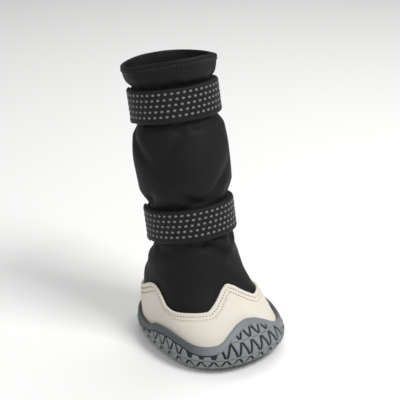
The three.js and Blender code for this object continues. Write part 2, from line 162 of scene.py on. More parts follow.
@dataclass(frozen=True)
class Last:
    """Form of the foot and shaft, in millimetres.

    Foot rows hold level, middle, front, back, half, square and lean. Shaft rows hold the place
    along the boot, front, back and half. Edge rows hold an angle from the toe and a share. The
    flat stretch ends at flat_front, a share of the sole's length, and at the heel pad.
    """

    sole_length: float = 90.0
    sole_width: float = 70.0
    sole_thickness: float = 5.0
    edge_round: float = 7.0
    toe_spring: float = 3.6
    heel_spring: float = 3.0
    flat_front: float = 0.24
    spring_power: float = 1.6
    foot_height: float = 54.0
    shaft_length: float = 99.0
    shaft_width: float = 52.0
    shaft_lean: float = 12.0
    ankle_strap_at: float = 13.0
    cuff_strap_drop: float = 22.0
    collar_wave: float = 1.2
    collar_turn: float = 0.6
    strap_width: float = 17.5
    fit_gap: float = 0.3
    upper_wall: float = 1.8
    rand_wall: float = 1.2
    cup_wall: float = 2.4
    floor_dish: float = 0.6
    toe_wrap_height: float = 21.2
    rand_height: float = 36.2
    pad_from_heel: float = 16.0
    pad_length: float = 8.0
    widest: float = 0.1
    ankle: float = -0.15
    foot_rows: tuple = (
        (0.0, 0.1, 0.4, 0.57, 0.5, 2.25, 0.0),
        (0.16, 0.1, 0.4, 0.592, 0.5, 2.25, 0.0),
        (0.3, 0.065, 0.36, 0.58, 0.476, 2.2, 0.0),
        (0.42, 0.025, 0.318, 0.558, 0.45, 2.15, 0.0),
        (0.56, -0.03, 0.274, 0.51, 0.424, 2.1, 0.05),
        (0.7, -0.08, 0.255, 0.425, 0.404, 2.05, 0.25),
        (0.85, -0.12, 0.254, 0.362, 0.388, 2.0, 0.6),
    )
    cup_edge: tuple = (
        (-10, 0.965), (0, 1.0), (10, 0.965), (18, 0.89), (25, 0.795), (31, 0.69), (38, 0.625),
        (48, 0.604), (58, 0.623), (71, 0.7), (88, 0.764), (109, 0.708), (124, 0.56), (145, 0.51),
        (180, 0.505), (215, 0.51),
    )
    rand_edge: tuple = (
        (-9, 0.965), (0, 1.0), (9, 0.965), (20, 0.88), (30, 0.8), (39, 0.745), (58, 0.732),
        (79, 0.713), (90, 0.735), (96, 0.829), (103, 0.912), (111, 0.935), (119, 0.912),
        (131, 0.83), (143, 0.73), (155, 0.63), (180, 0.57), (205, 0.63),
    )

    @property
    def pad_x(self) -> float:
        """Place of the heel pad along the sole."""
        return self.pad_from_heel - self.sole_length / 2

    @property
    def cup_inside(self) -> float:
        """Offset of the cup's inner wall from the upper."""
        return 2 * self.fit_gap + self.rand_wall

    @property
    def cup_outside(self) -> float:
        """Offset of the cup's outer wall from the upper."""
        return self.cup_inside + self.cup_wall

    @property
    def floor(self) -> float:
        """Height at which the upper and rand begin."""
        return self.sole_thickness + self.fit_gap

    @property
    def collar(self) -> float:
        """Place of the collar's edge along the boot."""
        return self.foot_height + self.shaft_length

    @property
    def ankle_strap(self) -> float:
        """Place of the ankle strap's middle along the boot."""
        return self.foot_height + self.ankle_strap_at

    @property
    def cuff_strap(self) -> float:
        """Place of the cuff strap's middle along the boot."""
        return self.collar - self.cuff_strap_drop

    def sections(self) -> tuple[np.ndarray, np.ndarray]:
        """Works out the sections up the boot.

        Returns:
            Places along the boot, and x, z, front, back, half, square and lean for each.
        """
        length = self.sole_length - 2 * self.cup_outside
        width = self.sole_width - 2 * self.cup_outside
        places = []
        rows = []
        for level, middle, front, back, half, square, lean in self.foot_rows:
            places.append(level * self.foot_height)
            row = (middle * length, level * self.foot_height, front * length, back * length)
            rows.append((*row, half * width, square, lean * self.shaft_lean))
        lean = math.radians(self.shaft_lean)
        for at, front, back, half in self.shaft_rows():
            along = at - self.foot_height
            places.append(at)
            row = (self.ankle * length - along * math.sin(lean), self.foot_height + along * math.cos(lean))
            sizes = (front * self.shaft_width, back * self.shaft_width, half * self.shaft_width)
            rows.append((*row, *sizes, 2.0, self.shaft_lean))
        return np.array(places), np.array(rows)

    def shaft_rows(self) -> list[tuple[float, float, float, float]]:
        """Works out the rows of the shaft: narrow under each strap and full between them.

        Returns:
            Place along the boot, and front, back and half as shares of the shaft's width.
        """
        low, high = self.ankle_strap, self.cuff_strap
        half = self.strap_width / 2
        between, above = high - low, self.collar - high
        return [
            (low - half, 0.402, 0.402, 0.404),
            (low + half, 0.402, 0.402, 0.404),
            (low + 0.3 * between, 0.484, 0.482, 0.488),
            (low + 0.55 * between, 0.498, 0.494, 0.5),
            (low + 0.74 * between, 0.474, 0.47, 0.476),
            (high - half, 0.402, 0.398, 0.402),
            (high + half, 0.402, 0.398, 0.402),
            (high + 0.62 * above, 0.456, 0.45, 0.46),
            (high + 0.82 * above, 0.478, 0.47, 0.482),
            (high + 1.05 * above, 0.486, 0.478, 0.492),
        ]

    def face(self, angle: np.ndarray, at: np.ndarray) -> np.ndarray:
        """Points of the upper's plain outer face.

        Args:
            angle: radians from the toe about the section's middle.
            at: places along the boot.

        Returns:
            One row of x, y and z for each point.
        """
        places, rows = self.sections()
        x, z, front, back, half, square, lean = (read_table(places, column, at) for column in rows.T)
        lengthwise = np.where(np.cos(angle) > 0, front, back)
        along = np.abs(np.cos(angle) / lengthwise) ** square
        across = np.abs(np.sin(angle) / half) ** square
        reach = (along + across) ** (-1 / square)
        forward = reach * np.cos(angle)
        turn = np.radians(lean)
        ahead, up = x + forward * np.cos(turn), z + forward * np.sin(turn)
        return np.stack([ahead, reach * np.sin(angle), up], axis=-1)

    def normal(self, angle: np.ndarray, at: np.ndarray) -> np.ndarray:
        """Outward directions of the plain face.

        Args:
            angle: radians from the toe.
            at: places along the boot.

        Returns:
            One unit row for each point.
        """
        angle_step, place_step = STEP_ROUND / 2, STEP_UP / 2
        place = np.clip(at, place_step, self.collar + self.collar_wave - place_step)
        around = self.face(angle + angle_step, place) - self.face(angle - angle_step, place)
        rise = self.face(angle, place + place_step) - self.face(angle, place - place_step)
        normal = np.cross(around, rise)
        return normal / np.linalg.norm(normal, axis=-1, keepdims=True)

    def point(self, angle: np.ndarray, at: np.ndarray, offset: np.ndarray | float) -> np.ndarray:
        """Points that lie an offset outwards from the plain face.

        Args:
            angle: radians from the toe.
            at: places along the boot.
            offset: distance along the normal.

        Returns:
            One row of x, y and z for each point.
        """
        angle, at, offset = np.broadcast_arrays(angle, at, offset)
        return self.face(angle, at) + self.normal(angle, at) * offset[..., None]

    def spoke(self, rim: np.ndarray, part: np.ndarray, height: np.ndarray) -> np.ndarray:
        """Points part of the way from the middle of the sole to its rim, at given heights."""
        middle = self.widest * (self.sole_length - 2 * self.cup_outside)
        return np.stack([middle * (1 - part) + rim[:, 0] * part, rim[:, 1] * part, height], axis=1)

    def edge(self, rows: Sequence[tuple[float, float]], angle: np.ndarray) -> np.ndarray:
        """Reads a wavy edge, alike on both sides of the boot.

        Args:
            rows: degrees from the toe and share of the full height.
            angle: radians from the toe.

        Returns:
            The share at each angle.
        """
        turned = np.degrees(np.abs(np.mod(angle + math.pi, FULL_TURN) - math.pi))
        table = np.array(rows, dtype=float)
        return read_table(table[:, 0], table[:, 1], turned)

    def cup_top(self, angle: np.ndarray) -> np.ndarray:
        """Height of the rubber wall's edge."""
        return self.toe_wrap_height * self.edge(self.cup_edge, angle)

    def rand_top(self, angle: np.ndarray) -> np.ndarray:
        """Height of the rand's edge."""
        return self.rand_height * self.edge(self.rand_edge, angle)

    def collar_top(self, angle: np.ndarray) -> np.ndarray:
        """Place of the collar's edge along the boot."""
        return self.collar + self.collar_wave * np.cos(2 * angle + self.collar_turn)

    def sprung(self, points: np.ndarray) -> np.ndarray:
        """Lifts toe and heel off the ground as the source does.

        Args:
            points: points in millimetres from mid-sole.

        Returns:
            The lifted points.
        """
        flat_front, flat_back = self.flat_front * self.sole_length, self.pad_x - self.pad_length / 2
        half = self.sole_length / 2
        x, z = points[..., 0], points[..., 2]
        toe = np.maximum(0, (x - flat_front) / (half - flat_front))
        heel = np.maximum(0, (flat_back - x) / (half + flat_back))
        fade = np.maximum(0, 1 - z / self.toe_wrap_height)
        lifted = points.copy()
        power = self.spring_power
        lifted[..., 2] += (self.toe_spring * toe**power + self.heel_spring * heel**power) * fade
        return lifted

    def to_row(self, points: np.ndarray) -> np.ndarray:
        """Turns points of the form into points of the row.

        Args:
            points: millimetres from mid-sole, before the toe and heel are lifted.

        Returns:
            Metres from the heel pad.
        """
        placed = self.sprung(np.asarray(points, dtype=float))
        placed[..., 0] += self.sole_length / 2 - self.pad_from_heel
        return placed * MM

    def angle_for(self, distance: np.ndarray, at: float, offset: float) -> np.ndarray:
        """Angles that lie given distances round the boot from the toe.

        Args:
            distance: millimetres round the section, either way.
            at: place along the boot.
            offset: distance outwards from the face.

        Returns:
            The angle in radians for each distance.
        """
        steps = np.linspace(0, FULL_TURN, RING_POINTS)
        run = way_along(self.point(steps, at, offset))
        turns = np.floor(distance / run[-1])
        return np.interp(distance - turns * run[-1], run, steps) + turns * FULL_TURN

    def girth(self, at: float, offset: float) -> float:
        """Way round the boot at a place and offset."""
        steps = np.linspace(0, FULL_TURN, RING_POINTS)
        return float(way_along(self.point(steps, at, offset))[-1])


LAST = Last()


def lay_out(
    angle: np.ndarray, at: np.ndarray, offset: np.ndarray | float
) -> tuple[np.ndarray, np.ndarray]:
    """Finds where small pieces lie on the boot.

    Args:
        angle: radians from the toe.
        at: places along the boot.
        offset: distance outwards from the plain face.

    Returns:
        Places in metres, and the direction round the boot from each.
    """
    origins = LAST.to_row(LAST.point(angle, at, offset))
    return origins, LAST.to_row(LAST.point(angle + STEP_ROUND, at, offset)) - origins


# Modelling by hand


def deselect_all() -> None:
    """Leaves object mode with nothing selected."""
    if bpy.context.object and bpy.context.object.mode != "OBJECT":
        bpy.ops.object.mode_set(mode="OBJECT")
    bpy.ops.object.select_all(action="DESELECT")


def activate(piece: bpy.types.Object) -> None:
    """Selects one object and makes it active.

    Args:
        piece: the object.
    """
    deselect_all()
    piece.select_set(True)
    bpy.context.view_layer.objects.active = piece


def close_up(piece: bpy.types.Object) -> None:
    """Merges doubled points in edit mode and turns the faces outwards.

    Args:
        piece: the object.
    """
    activate(piece)
    bpy.ops.object.mode_set(mode="EDIT")
    bpy.ops.mesh.select_all(action="SELECT")
    bpy.ops.mesh.remove_doubles(threshold=MERGE_DISTANCE)
    bpy.ops.mesh.normals_make_consistent(inside=False)
    bpy.ops.object.mode_set(mode="OBJECT")


def read_points(mesh: bpy.types.Mesh) -> np.ndarray:
    """Reads a mesh's points.

    Args:
        mesh: the mesh.

    Returns:
        One row of x, y and z for each point.
    """
    points = np.empty(len(mesh.vertices) * 3)
    mesh.vertices.foreach_get("co", points)
    return points.reshape(-1, 3)


def lay_grid(
    name: str,
    columns: int,
    rows: int,
    shape: Callable[[np.ndarray, np.ndarray], np.ndarray],
    slot_rows: Sequence[int] = (),
) -> bpy.types.Object:
    """Lays a grid primitive over a curved surface and closes it.

    Args:
        name: name of the piece.
        columns: steps round the boot.
        rows: steps along the piece's profile.
        shape: gives points in millimetres from the share round and the row of each point.
        slot_rows: rows at which the next material slot begins.

    Returns:
        The closed and smoothed piece.
    """
    deselect_all()
    bpy.ops.mesh.primitive_grid_add(x_subdivisions=columns, y_subdivisions=rows, size=2, calc_uvs=True)
    piece = bpy.context.active_object
    piece.name = piece.data.name = name
    mesh = piece.data
    flat = read_points(mesh)
    share = (flat[:, 0] + 1) / 2
    row = np.rint((flat[:, 1] + 1) / 2 * rows)
    if slot_rows:
        corners = np.empty(len(mesh.loops), dtype=int)
        mesh.loops.foreach_get("vertex_index", corners)
        middle = row[corners].reshape(-1, 4).mean(axis=1)
        picks = sum((middle > start).astype(int) for start in slot_rows)
        mesh.polygons.foreach_set("material_index", picks)
    mesh.vertices.foreach_set("co", LAST.to_row(shape(share, row)).ravel())
    mesh.update()
    close_up(piece)
    bpy.ops.object.shade_smooth()
    return piece


def mesh_piece(name: str, points: np.ndarray, faces: Sequence[Sequence[int]]) -> bpy.types.Object:
    """Makes an object from points and faces.

    Args:
        name: name of the piece.
        points: one row of x, y and z in metres for each point.
        faces: the corners of each face, as numbers of points.

    Returns:
        The new object, in the scene.
    """
    mesh = bpy.data.meshes.new(name)
    mesh.from_pydata([tuple(point) for point in points], [], [tuple(face) for face in faces])
    mesh.update()
    piece = bpy.data.objects.new(name, mesh)
    bpy.context.scene.collection.objects.link(piece)
    return piece


def scatter(
    name: str,
    model: bpy.types.Object,
    origins: np.ndarray,
    along: np.ndarray,
    up: np.ndarray,
) -> bpy.types.Object:
    """Copies a small model to many places on the boot and joins the copies.

    Args:
        name: name of the joined piece.
        model: the small piece, modelled once in metres about the origin; it is removed.
        origins: places in metres.
        along: direction of the model's x axis at each place.
        up: direction of the model's z axis at each place.

    Returns:
        The joined piece.
    """
    shape = read_points(model.data)
    faces = [list(polygon.vertices) for polygon in model.data.polygons]
    up = up / np.linalg.norm(up, axis=1, keepdims=True)
    along = along - up * np.sum(along * up, axis=1, keepdims=True)
    along = along / np.linalg.norm(along, axis=1, keepdims=True)
    across = np.cross(up, along)
    turns = np.stack([along, across, up], axis=1)
    points = np.einsum("vk,nkc->nvc", shape, turns) + origins[:, None, :]
    count = len(shape)
    all_faces = [[index + copy * count for index in face] for copy in range(len(origins)) for face in faces]
    bpy.data.objects.remove(model)
    piece = mesh_piece(name, points.reshape(-1, 3), all_faces)
    activate(piece)
    bpy.ops.object.shade_smooth()
    return piece


def model_dot(length: float, width: float, height: float) -> bpy.types.Object:
    """Models one low oval dot: a disc, raised and drawn in.

    Args:
        length: size along the strap in millimetres.
        width: size across the strap in millimetres.
        height: rise in millimetres.

    Returns:
        The dot, lying on its back face at the origin.
    """
    shoulder, top_length, top_width = 0.6, 0.72, 0.66
    deselect_all()
    bpy.ops.mesh.primitive_circle_add(vertices=10, radius=length / 2 * MM, fill_type="NGON")
    dot = bpy.context.active_object
    bpy.ops.object.mode_set(mode="EDIT")
    bpy.ops.mesh.select_all(action="SELECT")
    bpy.ops.transform.resize(value=(1, width / length, 1))
    for share in (shoulder, 1 - shoulder):
        bpy.ops.mesh.extrude_region_move(TRANSFORM_OT_translate={"value": (0, 0, share * height * MM)})
    bpy.ops.transform.resize(value=(top_length, top_width, 1))
    bpy.ops.mesh.select_all(action="SELECT")
    bpy.ops.mesh.normals_make_consistent(inside=False)
    bpy.ops.object.mode_set(mode="OBJECT")
    return dot


def model_stitch(length: float, width: float, height: float) -> bpy.types.Object:
    """Models one thread stitch: a ball drawn out along the seam.

    Args:
        length: size along the seam in millimetres.
        width: thread width in millimetres.
        height: rise in millimetres.

    Returns:
        The stitch, with its middle at the origin.
    """
    deselect_all()
    bpy.ops.mesh.primitive_uv_sphere_add(segments=8, ring_count=4, radius=0.5 * MM)
    stitch = bpy.context.active_object
    bpy.ops.object.mode_set(mode="EDIT")
    bpy.ops.mesh.select_all(action="SELECT")
    bpy.ops.transform.rotate(value=QUARTER_TURN, orient_axis="Y", center_override=(0, 0, 0))
    bpy.ops.transform.resize(value=(length, width, height))
    bpy.ops.mesh.normals_make_consistent(inside=False)
    bpy.ops.object.mode_set(mode="OBJECT")
    return stitch


# Finishes


def linear(code: str) -> tuple[float, float, float, float]:
    """Turns a colour into linear light.

    Args:
        code: sRGB hex value.

    Returns:
        Linear red, green, blue and full alpha.
    """
    parts = [int(code[start : start + 2], 16) / 255 for start in (1, 3, 5)]
    lit = [part / 12.92 if part <= 0.04045 else ((part + 0.055) / 1.055) ** 2.4 for part in parts]
    return (*lit, 1.0)


def add_node(
    tree: bpy.types.NodeTree, kind: str, inputs: dict | None = None, **settings: object
) -> bpy.types.Node:
    """Adds a node with its settings, values and links.

    Args:
        tree: node tree that takes the node.
        kind: type name without the ShaderNode prefix.
        inputs: value or linked output for each named input.
        settings: properties of the node.

    Returns:
        The new node.
    """
    node = tree.nodes.new(f"ShaderNode{kind}")
    for key, value in settings.items():
        setattr(node, key, value)
    for key, value in (inputs or {}).items():
        socket = next(candidate for candidate in node.inputs if candidate.name == key and candidate.enabled)
        if isinstance(value, bpy.types.NodeSocket):
            tree.links.new(value, socket)
        else:
            socket.default_value = value
    return node


@dataclass(frozen=True)
class Finish:
    """A matte surface with a mottled colour and a fine relief.

    Sizes are in millimetres: mottle is the size of its light and dark patches, grain the size of
    its relief and depth that relief's height. Threads, hairs and grit finer than about 0.3 mm
    are too fine to show, so their grain is drawn as coarse as it needs to show.
    """

    name: str
    colour: str
    shade: str
    roughness: float
    mottle: float
    grain: float
    depth: float
    specular: float = 0.5
    sheen: float = 0.0
    sheen_tint: str = "#ffffff"
    rough_spread: float = 0.05

    def height(self, tree: bpy.types.NodeTree, place: bpy.types.NodeSocket) -> bpy.types.NodeSocket:
        """Gives the relief: here an even fine grain.

        Args:
            tree: the material's nodes.
            place: output that gives the place on the boot.

        Returns:
            The output that gives the height.
        """
        scale = 1 / (self.grain * MM)
        grain = add_node(tree, "TexNoise", {"Vector": place, "Scale": scale, "Detail": 3.0, "Roughness": 0.6})
        return grain.outputs["Fac"]

    def blend(
        self, tree: bpy.types.NodeTree, factor: bpy.types.NodeSocket, low: object, high: object
    ) -> bpy.types.NodeSocket:
        """Blends two colours, given as values or as outputs."""
        mix = add_node(tree, "Mix", {"Factor": factor, "A": low, "B": high}, data_type="RGBA")
        return next(output for output in mix.outputs if output.enabled)

    def tone(
        self, tree: bpy.types.NodeTree, place: bpy.types.NodeSocket, patches: bpy.types.NodeSocket
    ) -> bpy.types.NodeSocket:
        """Gives the colour: here light and dark patches."""
        return self.blend(tree, patches, linear(self.shade), linear(self.colour))

    def material(self) -> bpy.types.Material:
        """Builds the material.

        Returns:
            The material with its nodes.
        """
        material = bpy.data.materials.new(self.name)
        material.use_nodes = True
        tree = material.node_tree
        tree.nodes.clear()
        place = add_node(tree, "TexCoord").outputs["Object"]
        spots = {"Vector": place, "Scale": 1 / (self.mottle * MM), "Detail": 4.0}
        patches = add_node(tree, "TexNoise", spots).outputs["Fac"]
        colour = self.tone(tree, place, patches)
        low, high = self.roughness - self.rough_spread, min(1.0, self.roughness + self.rough_spread)
        rough = add_node(tree, "MapRange", {"Value": patches, "To Min": low, "To Max": high})
        relief = {"Height": self.height(tree, place), "Strength": 1.0, "Distance": self.depth * MM}
        bump = add_node(tree, "Bump", relief)
        surface = {
            "Base Color": colour,
            "Roughness": rough.outputs["Result"],
            "Normal": bump.outputs["Normal"],
            "Specular IOR Level": self.specular,
            "Sheen Weight": self.sheen,
            "Sheen Tint": linear(self.sheen_tint),
        }
        shader = add_node(tree, "BsdfPrincipled", surface)
        add_node(tree, "OutputMaterial", {"Surface": shader.outputs["BSDF"]})
        return material


@dataclass(frozen=True)
class RibbedFinish(Finish):
    """A woven tape: fine ribs across it, read from the piece's own UV map."""

    ribs: float = 180.0

    def height(self, tree: bpy.types.NodeTree, place: bpy.types.NodeSocket) -> bpy.types.NodeSocket:
        """Gives the relief of the ribs.

        Args:
            tree: the material's nodes.
            place: output that gives the place on the boot, which the ribs don't follow.

        Returns:
            The output that gives the height.
        """
        spread = add_node(tree, "TexCoord").outputs["UV"]
        rows = {"Vector": spread, "Scale": self.ribs / FULL_TURN, "Distortion": 0.4}
        return add_node(tree, "TexWave", rows, wave_type="BANDS", bands_direction="X").outputs["Fac"]


@dataclass(frozen=True)
class PaintedLightBandFinish(Finish):
    """Rubber that grows lighter from one place along the boot to another, in millimetres from the origin:
    painted shade along the sides and painted light at the toe.
    """

    # Colour at the toe: painted light where the lamps light the toe
    light: str = "#868a8c"
    painted_shade_until: float = 50.0
    painted_light_from: float = 70.0

    def tone(
        self, tree: bpy.types.NodeTree, place: bpy.types.NodeSocket, patches: bpy.types.NodeSocket
    ) -> bpy.types.NodeSocket:
        """Gives the colour: patches that pale towards the toe, painted shade along the sides and painted
        light at the toe.

        Args:
            tree: the material's nodes.
            place: output that gives the place on the boot.
            patches: output that gives the light and dark patches.

        Returns:
            The output that gives the colour.
        """
        # The darker band colour is painted shade along the sides; towards the toe it blends into the painted
        # light colour
        dark = super().tone(tree, place, patches)
        along = add_node(tree, "SeparateXYZ", {"Vector": place}).outputs["X"]
        span = {"Value": along, "From Min": self.painted_shade_until * MM, "From Max": self.painted_light_from * MM}
        share = add_node(tree, "MapRange", span, interpolation_type="SMOOTHSTEP").outputs["Result"]
        return self.blend(tree, share, dark, linear(self.light))


@dataclass(frozen=True)
class Finishes:
    """The boot's finishes."""

    # Laminated polyester softshell: matte black knit that catches light softly along its folds
    softshell: Finish = Finish(
        "softshell_knit", "#171718", "#121213", 0.66, 16.0, 0.5, 0.03, 0.2, 0.02, "#8a8c90"
    )
    # Brushed polyester lining: a little greyer and hairier than the outside
    lining: Finish = Finish(
        "brushed_lining", "#212122", "#171718", 0.95, 6.0, 0.7, 0.12, 0.15, 0.05, "#8c8e92"
    )
    # Microfibre suede: warm off-white, dry and fine-grained, a little soiled in patches
    suede: Finish = Finish(
        "microfibre_suede", "#e5dfd3", "#d8d1c5", 0.9, 12.0, 0.45, 0.04, 0.25, 0.08, "#fff8ea"
    )
    # Compression-moulded rubber: mid grey with a dull skin from the mould
    rubber: Finish = Finish("moulded_rubber", "#8a8d8e", "#787c7d", 0.6, 7.0, 0.6, 0.03, 0.35)
    # The same rubber along the wall's plain band, darkened with painted shade along the sides and paled with
    # painted light towards the toe
    band: Finish = PaintedLightBandFinish("moulded_rubber_band_painted_light", "#575c5f", "#4d5255", 0.52, 8.0, 0.8, 0.02, 0.35)
    # The same rubber in the grooves, darkened as painted shade for the shadow that lies in them
    grooves: Finish = Finish("moulded_rubber_grooves_painted_shade", "#35393b", "#2b2f31", 0.75, 6.0, 0.8, 0.03, 0.2)
    # Woven polyester webbing: black, slightly shiny threads that run across the tape
    webbing: Finish = RibbedFinish("polyester_webbing", "#161617", "#101011", 0.6, 5.0, 0.8, 0.1, 0.25, 0.02)
    # Silicone print with glass beads: light grey dots, dull from straight on
    dots: Finish = Finish("beaded_silicone_print", "#838485", "#68696a", 0.5, 2.0, 0.3, 0.02, 0.35)
    # Bonded nylon thread, sand grey on the rand
    rand_thread: Finish = Finish("bonded_thread_sand", "#978f80", "#857d6f", 0.7, 2.0, 0.3, 0.03)
    # Bonded nylon thread, black on the fabric
    dark_thread: Finish = Finish("bonded_thread_black", "#343436", "#262628", 0.6, 2.0, 0.3, 0.03)
    # Hook tape: injection-moulded nylon, charcoal
    hook_tape: Finish = Finish("nylon_hook_tape", "#4c4e50", "#404143", 0.6, 2.0, 0.5, 0.08)
    # Felt-topped foam footbed: black, hairy and dull
    felt: Finish = Finish("needled_felt", "#2b2b2c", "#202021", 0.97, 4.0, 0.6, 0.15, 0.2, 0.1)


def dress(piece: bpy.types.Object, finishes: Sequence[Finish], nodes: Sequence[str] = ()) -> None:
    """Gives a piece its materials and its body.

    Args:
        piece: the finished piece.
        finishes: one finish for each material slot of the mesh.
        nodes: CAD nodes that the piece stands for.
    """
    for finish in finishes:
        material = bpy.data.materials.get(finish.name) or finish.material()
        piece.data.materials.append(material)
    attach(piece, BODY)
    if nodes:
        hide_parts(*nodes)
    log.info("%s: %d faces", piece.name, len(piece.data.polygons))


# Soft upper


@dataclass(frozen=True)
class Crease:
    """One soft trough or ridge in the fabric: place, size, turn from level in degrees, and rise."""

    angle: float
    at: float
    length: float
    width: float
    turn: float
    rise: float


@dataclass
class Upper:
    """Foot and shaft of softshell with a hemmed collar.

    The hem's turns hold the distance past its lower edge and the share of its step there.
    """

    columns: int = 200
    outer_rows: int = 190
    rim_rows: int = 12
    inner_rows: int = 60
    hem_height: float = 3.5
    hem_step: float = 0.35
    hem_turns: tuple[tuple[float, float], ...] = ((0.3, 0.7), (0.6, 1.0))
    edge_fade: float = 3.0
    rand_margin: float = 0.5
    strap_margin: float = 0.2
    waves: tuple[Wave, ...] = (Wave(0.28, 2, 0.09, 0.4), Wave(0.2, 3, -0.13, 1.7), Wave(0.12, 5, 0.21, 2.6))
    crease_radius: float = 24.0
    cinch: float = 0.33
    cinch_fade: float = 7.0
    pleats: int = 11
    pleat_drift: float = 0.8
    fine_pleats: Wave = Wave(0.6, 17, 0.0, 2.1)
    collar_dents: tuple[Wave, ...] = (
        Wave(0.9, 3, 0.0, QUARTER_TURN + 0.9),
        Wave(0.495, 5, 0.0, QUARTER_TURN + 2.2),
        Wave(0.27, 8, 0.0, QUARTER_TURN + 0.3),
    )
    collar_fade: float = 11.0
    stitch_drop: float = 2.4
    stitch_pitch: float = 2.2
    stitch_size: tuple[float, float, float] = (1.5, 0.4, 0.35)
    stitch_lift: float = 0.05
    creases: tuple[Crease, ...] = (
        Crease(-16, 55.6, 3.6, 2.2, 24, -2.4),
        Crease(-4, 52.0, 11.0, 2.4, -24, -1.8),
        Crease(-2, 57.0, 9.0, 2.4, -20, 1.2),
        Crease(14, 50.5, 14.0, 3.4, -34, 1.6),
        Crease(24, 45.5, 15.0, 2.8, -30, -1.8),
        Crease(36, 51.0, 14.0, 3.0, 26, 0.9),
        Crease(-46, 50.0, 12.0, 5.0, 18, 1.2),
        Crease(-66, 47.0, 14.0, 3.2, 22, -1.5),
        Crease(-80, 53.0, 12.0, 3.0, -10, -0.9),
        Crease(-150, 52.0, 14.0, 3.5, 8, -0.9),
        Crease(150, 50.0, 14.0, 3.5, -8, -0.9),
        Crease(84, 52.0, 12.0, 3.2, 12, -0.8),
        Crease(-42, 119.0, 3.0, 2.0, 0, -1.1),
        Crease(-12, 119.5, 3.2, 2.0, 0, -1.0),
        Crease(40, 119.0, 4.0, 2.2, 0, -0.8),
        Crease(-92, 82.0, 11.0, 2.8, 34, -1.9),
        Crease(-58, 87.0, 16.0, 6.0, 30, 1.4),
        Crease(-30, 80.0, 11.0, 2.6, -34, -1.7),
        Crease(6, 85.0, 13.0, 3.0, 44, -1.9),
        Crease(-20, 98.0, 14.0, 7.0, 60, 1.3),
        Crease(-48, 108.0, 10.0, 2.8, 50, -1.7),
        Crease(-98, 110.0, 12.0, 3.0, -40, -1.9),
        Crease(18, 112.0, 8.0, 3.0, -50, -0.9),
        Crease(120, 84.0, 10.0, 3.0, 30, -0.7),
        Crease(160, 112.0, 10.0, 3.0, -30, -0.7),
    )

    def free(self, angle: np.ndarray, at: np.ndarray) -> np.ndarray:
        """Works out how free the fabric is to move.

        Args:
            angle: radians from the toe.
            at: places along the boot.

        Returns:
            0 under straps and rand, 1 clear of them.
        """
        free = smooth_step((at - LAST.rand_top(angle) - self.rand_margin) / self.edge_fade)
        for strap in (LAST.ankle_strap, LAST.cuff_strap):
            beyond = np.abs(at - strap) - LAST.strap_width / 2
            free = free * smooth_step((beyond - self.strap_margin) / self.edge_fade)
        return free

    def relief(self, angle: np.ndarray, at: np.ndarray) -> np.ndarray:
        """Rise of the fabric's folds.

        Args:
            angle: radians from the toe.
            at: places along the boot.

        Returns:
            Millimetres outwards from the plain face.
        """
        rise = ripple(self.waves, angle, at)
        for crease in self.creases:
            turned = np.mod(angle - math.radians(crease.angle) + math.pi, FULL_TURN) - math.pi
            level, up = turned * self.crease_radius, at - crease.at
            turn = math.radians(crease.turn)
            run = level * math.cos(turn) + up * math.sin(turn)
            off = up * math.cos(turn) - level * math.sin(turn)
            rise = rise + crease.rise * np.exp(-((run / crease.length) ** 2) - (off / crease.width) ** 2)
        for strap in (LAST.ankle_strap, LAST.cuff_strap):
            beyond = np.abs(at - strap) - LAST.strap_width / 2
            fade = np.exp(-((beyond / self.cinch_fade) ** 2))
            drift = self.pleat_drift * np.sin(2 * angle)
            gathers = np.sin(self.pleats * angle + drift + strap) + ripple((self.fine_pleats,), angle, at)
            rise = rise + self.cinch * fade * gathers
        above = smooth_step((at - LAST.cuff_strap - LAST.strap_width / 2) / self.collar_fade)
        rise = rise + ripple(self.collar_dents, angle, at) * above
        return rise * self.free(angle, at)

    def profile(self) -> np.ndarray:
        """Works out the rows of the wall, from the rand up, over the rim and down inside.

        Returns:
            Share of the way up to the hem, drop from the collar's edge, and offset.
        """
        wall, step = LAST.upper_wall, self.hem_step
        rows = [(share, self.hem_height * share, 0.0) for share in np.linspace(0, 1, self.outer_rows)]
        radius = (wall + step) / 2
        rows += [(1, self.hem_height - past, step * part) for past, part in self.hem_turns]
        for turn in np.linspace(0, math.pi, self.rim_rows):
            rows.append((1, radius - radius * math.sin(turn), step - radius + radius * math.cos(turn)))
        rows += [(share, self.hem_height * share, -wall) for share in np.linspace(1, 0, self.inner_rows)]
        rows.append((0, 0.0, 0.0))
        return np.array(rows)

    def build(self) -> list[bpy.types.Object]:
        """Builds the wall and the hem's stitches.

        Returns:
            The dressed pieces.
        """
        profile = self.profile()
        finishes = Finishes()

        def shape(share: np.ndarray, row: np.ndarray) -> np.ndarray:
            """Gives the wall's points in millimetres for shares round it and rows of its profile."""
            angle = share * FULL_TURN
            up, drop, offset = profile[row.astype(int)].T
            at = LAST.floor + (LAST.collar_top(angle) - LAST.floor) * up - drop
            return LAST.point(angle, at, offset + self.relief(angle, at))

        first_inner = self.outer_rows + len(self.hem_turns) + self.rim_rows
        wall = lay_grid("soft_upper", self.columns, len(profile) - 1, shape, (first_inner,))
        dress(wall, (finishes.softshell, finishes.lining), ("upper",))
        return [wall, self.hem_stitches()]

    def hem_stitches(self) -> bpy.types.Object:
        """Builds the row of stitches under the collar's edge.

        Returns:
            The dressed row.
        """
        place = LAST.collar - self.stitch_drop
        girth = LAST.girth(place, self.hem_step)
        count = round(girth / self.stitch_pitch)
        angle = LAST.angle_for(np.arange(count) * girth / count, place, self.hem_step)
        at = LAST.collar_top(angle) - self.stitch_drop
        offset = self.hem_step + self.relief(angle, at) + self.stitch_lift
        origins, along = lay_out(angle, at, offset)
        stitch = model_stitch(*self.stitch_size)
        row = scatter("hem_stitches", stitch, origins, along, LAST.normal(angle, at))
        dress(row, (Finishes().dark_thread,))
        return row


# Sewn rand


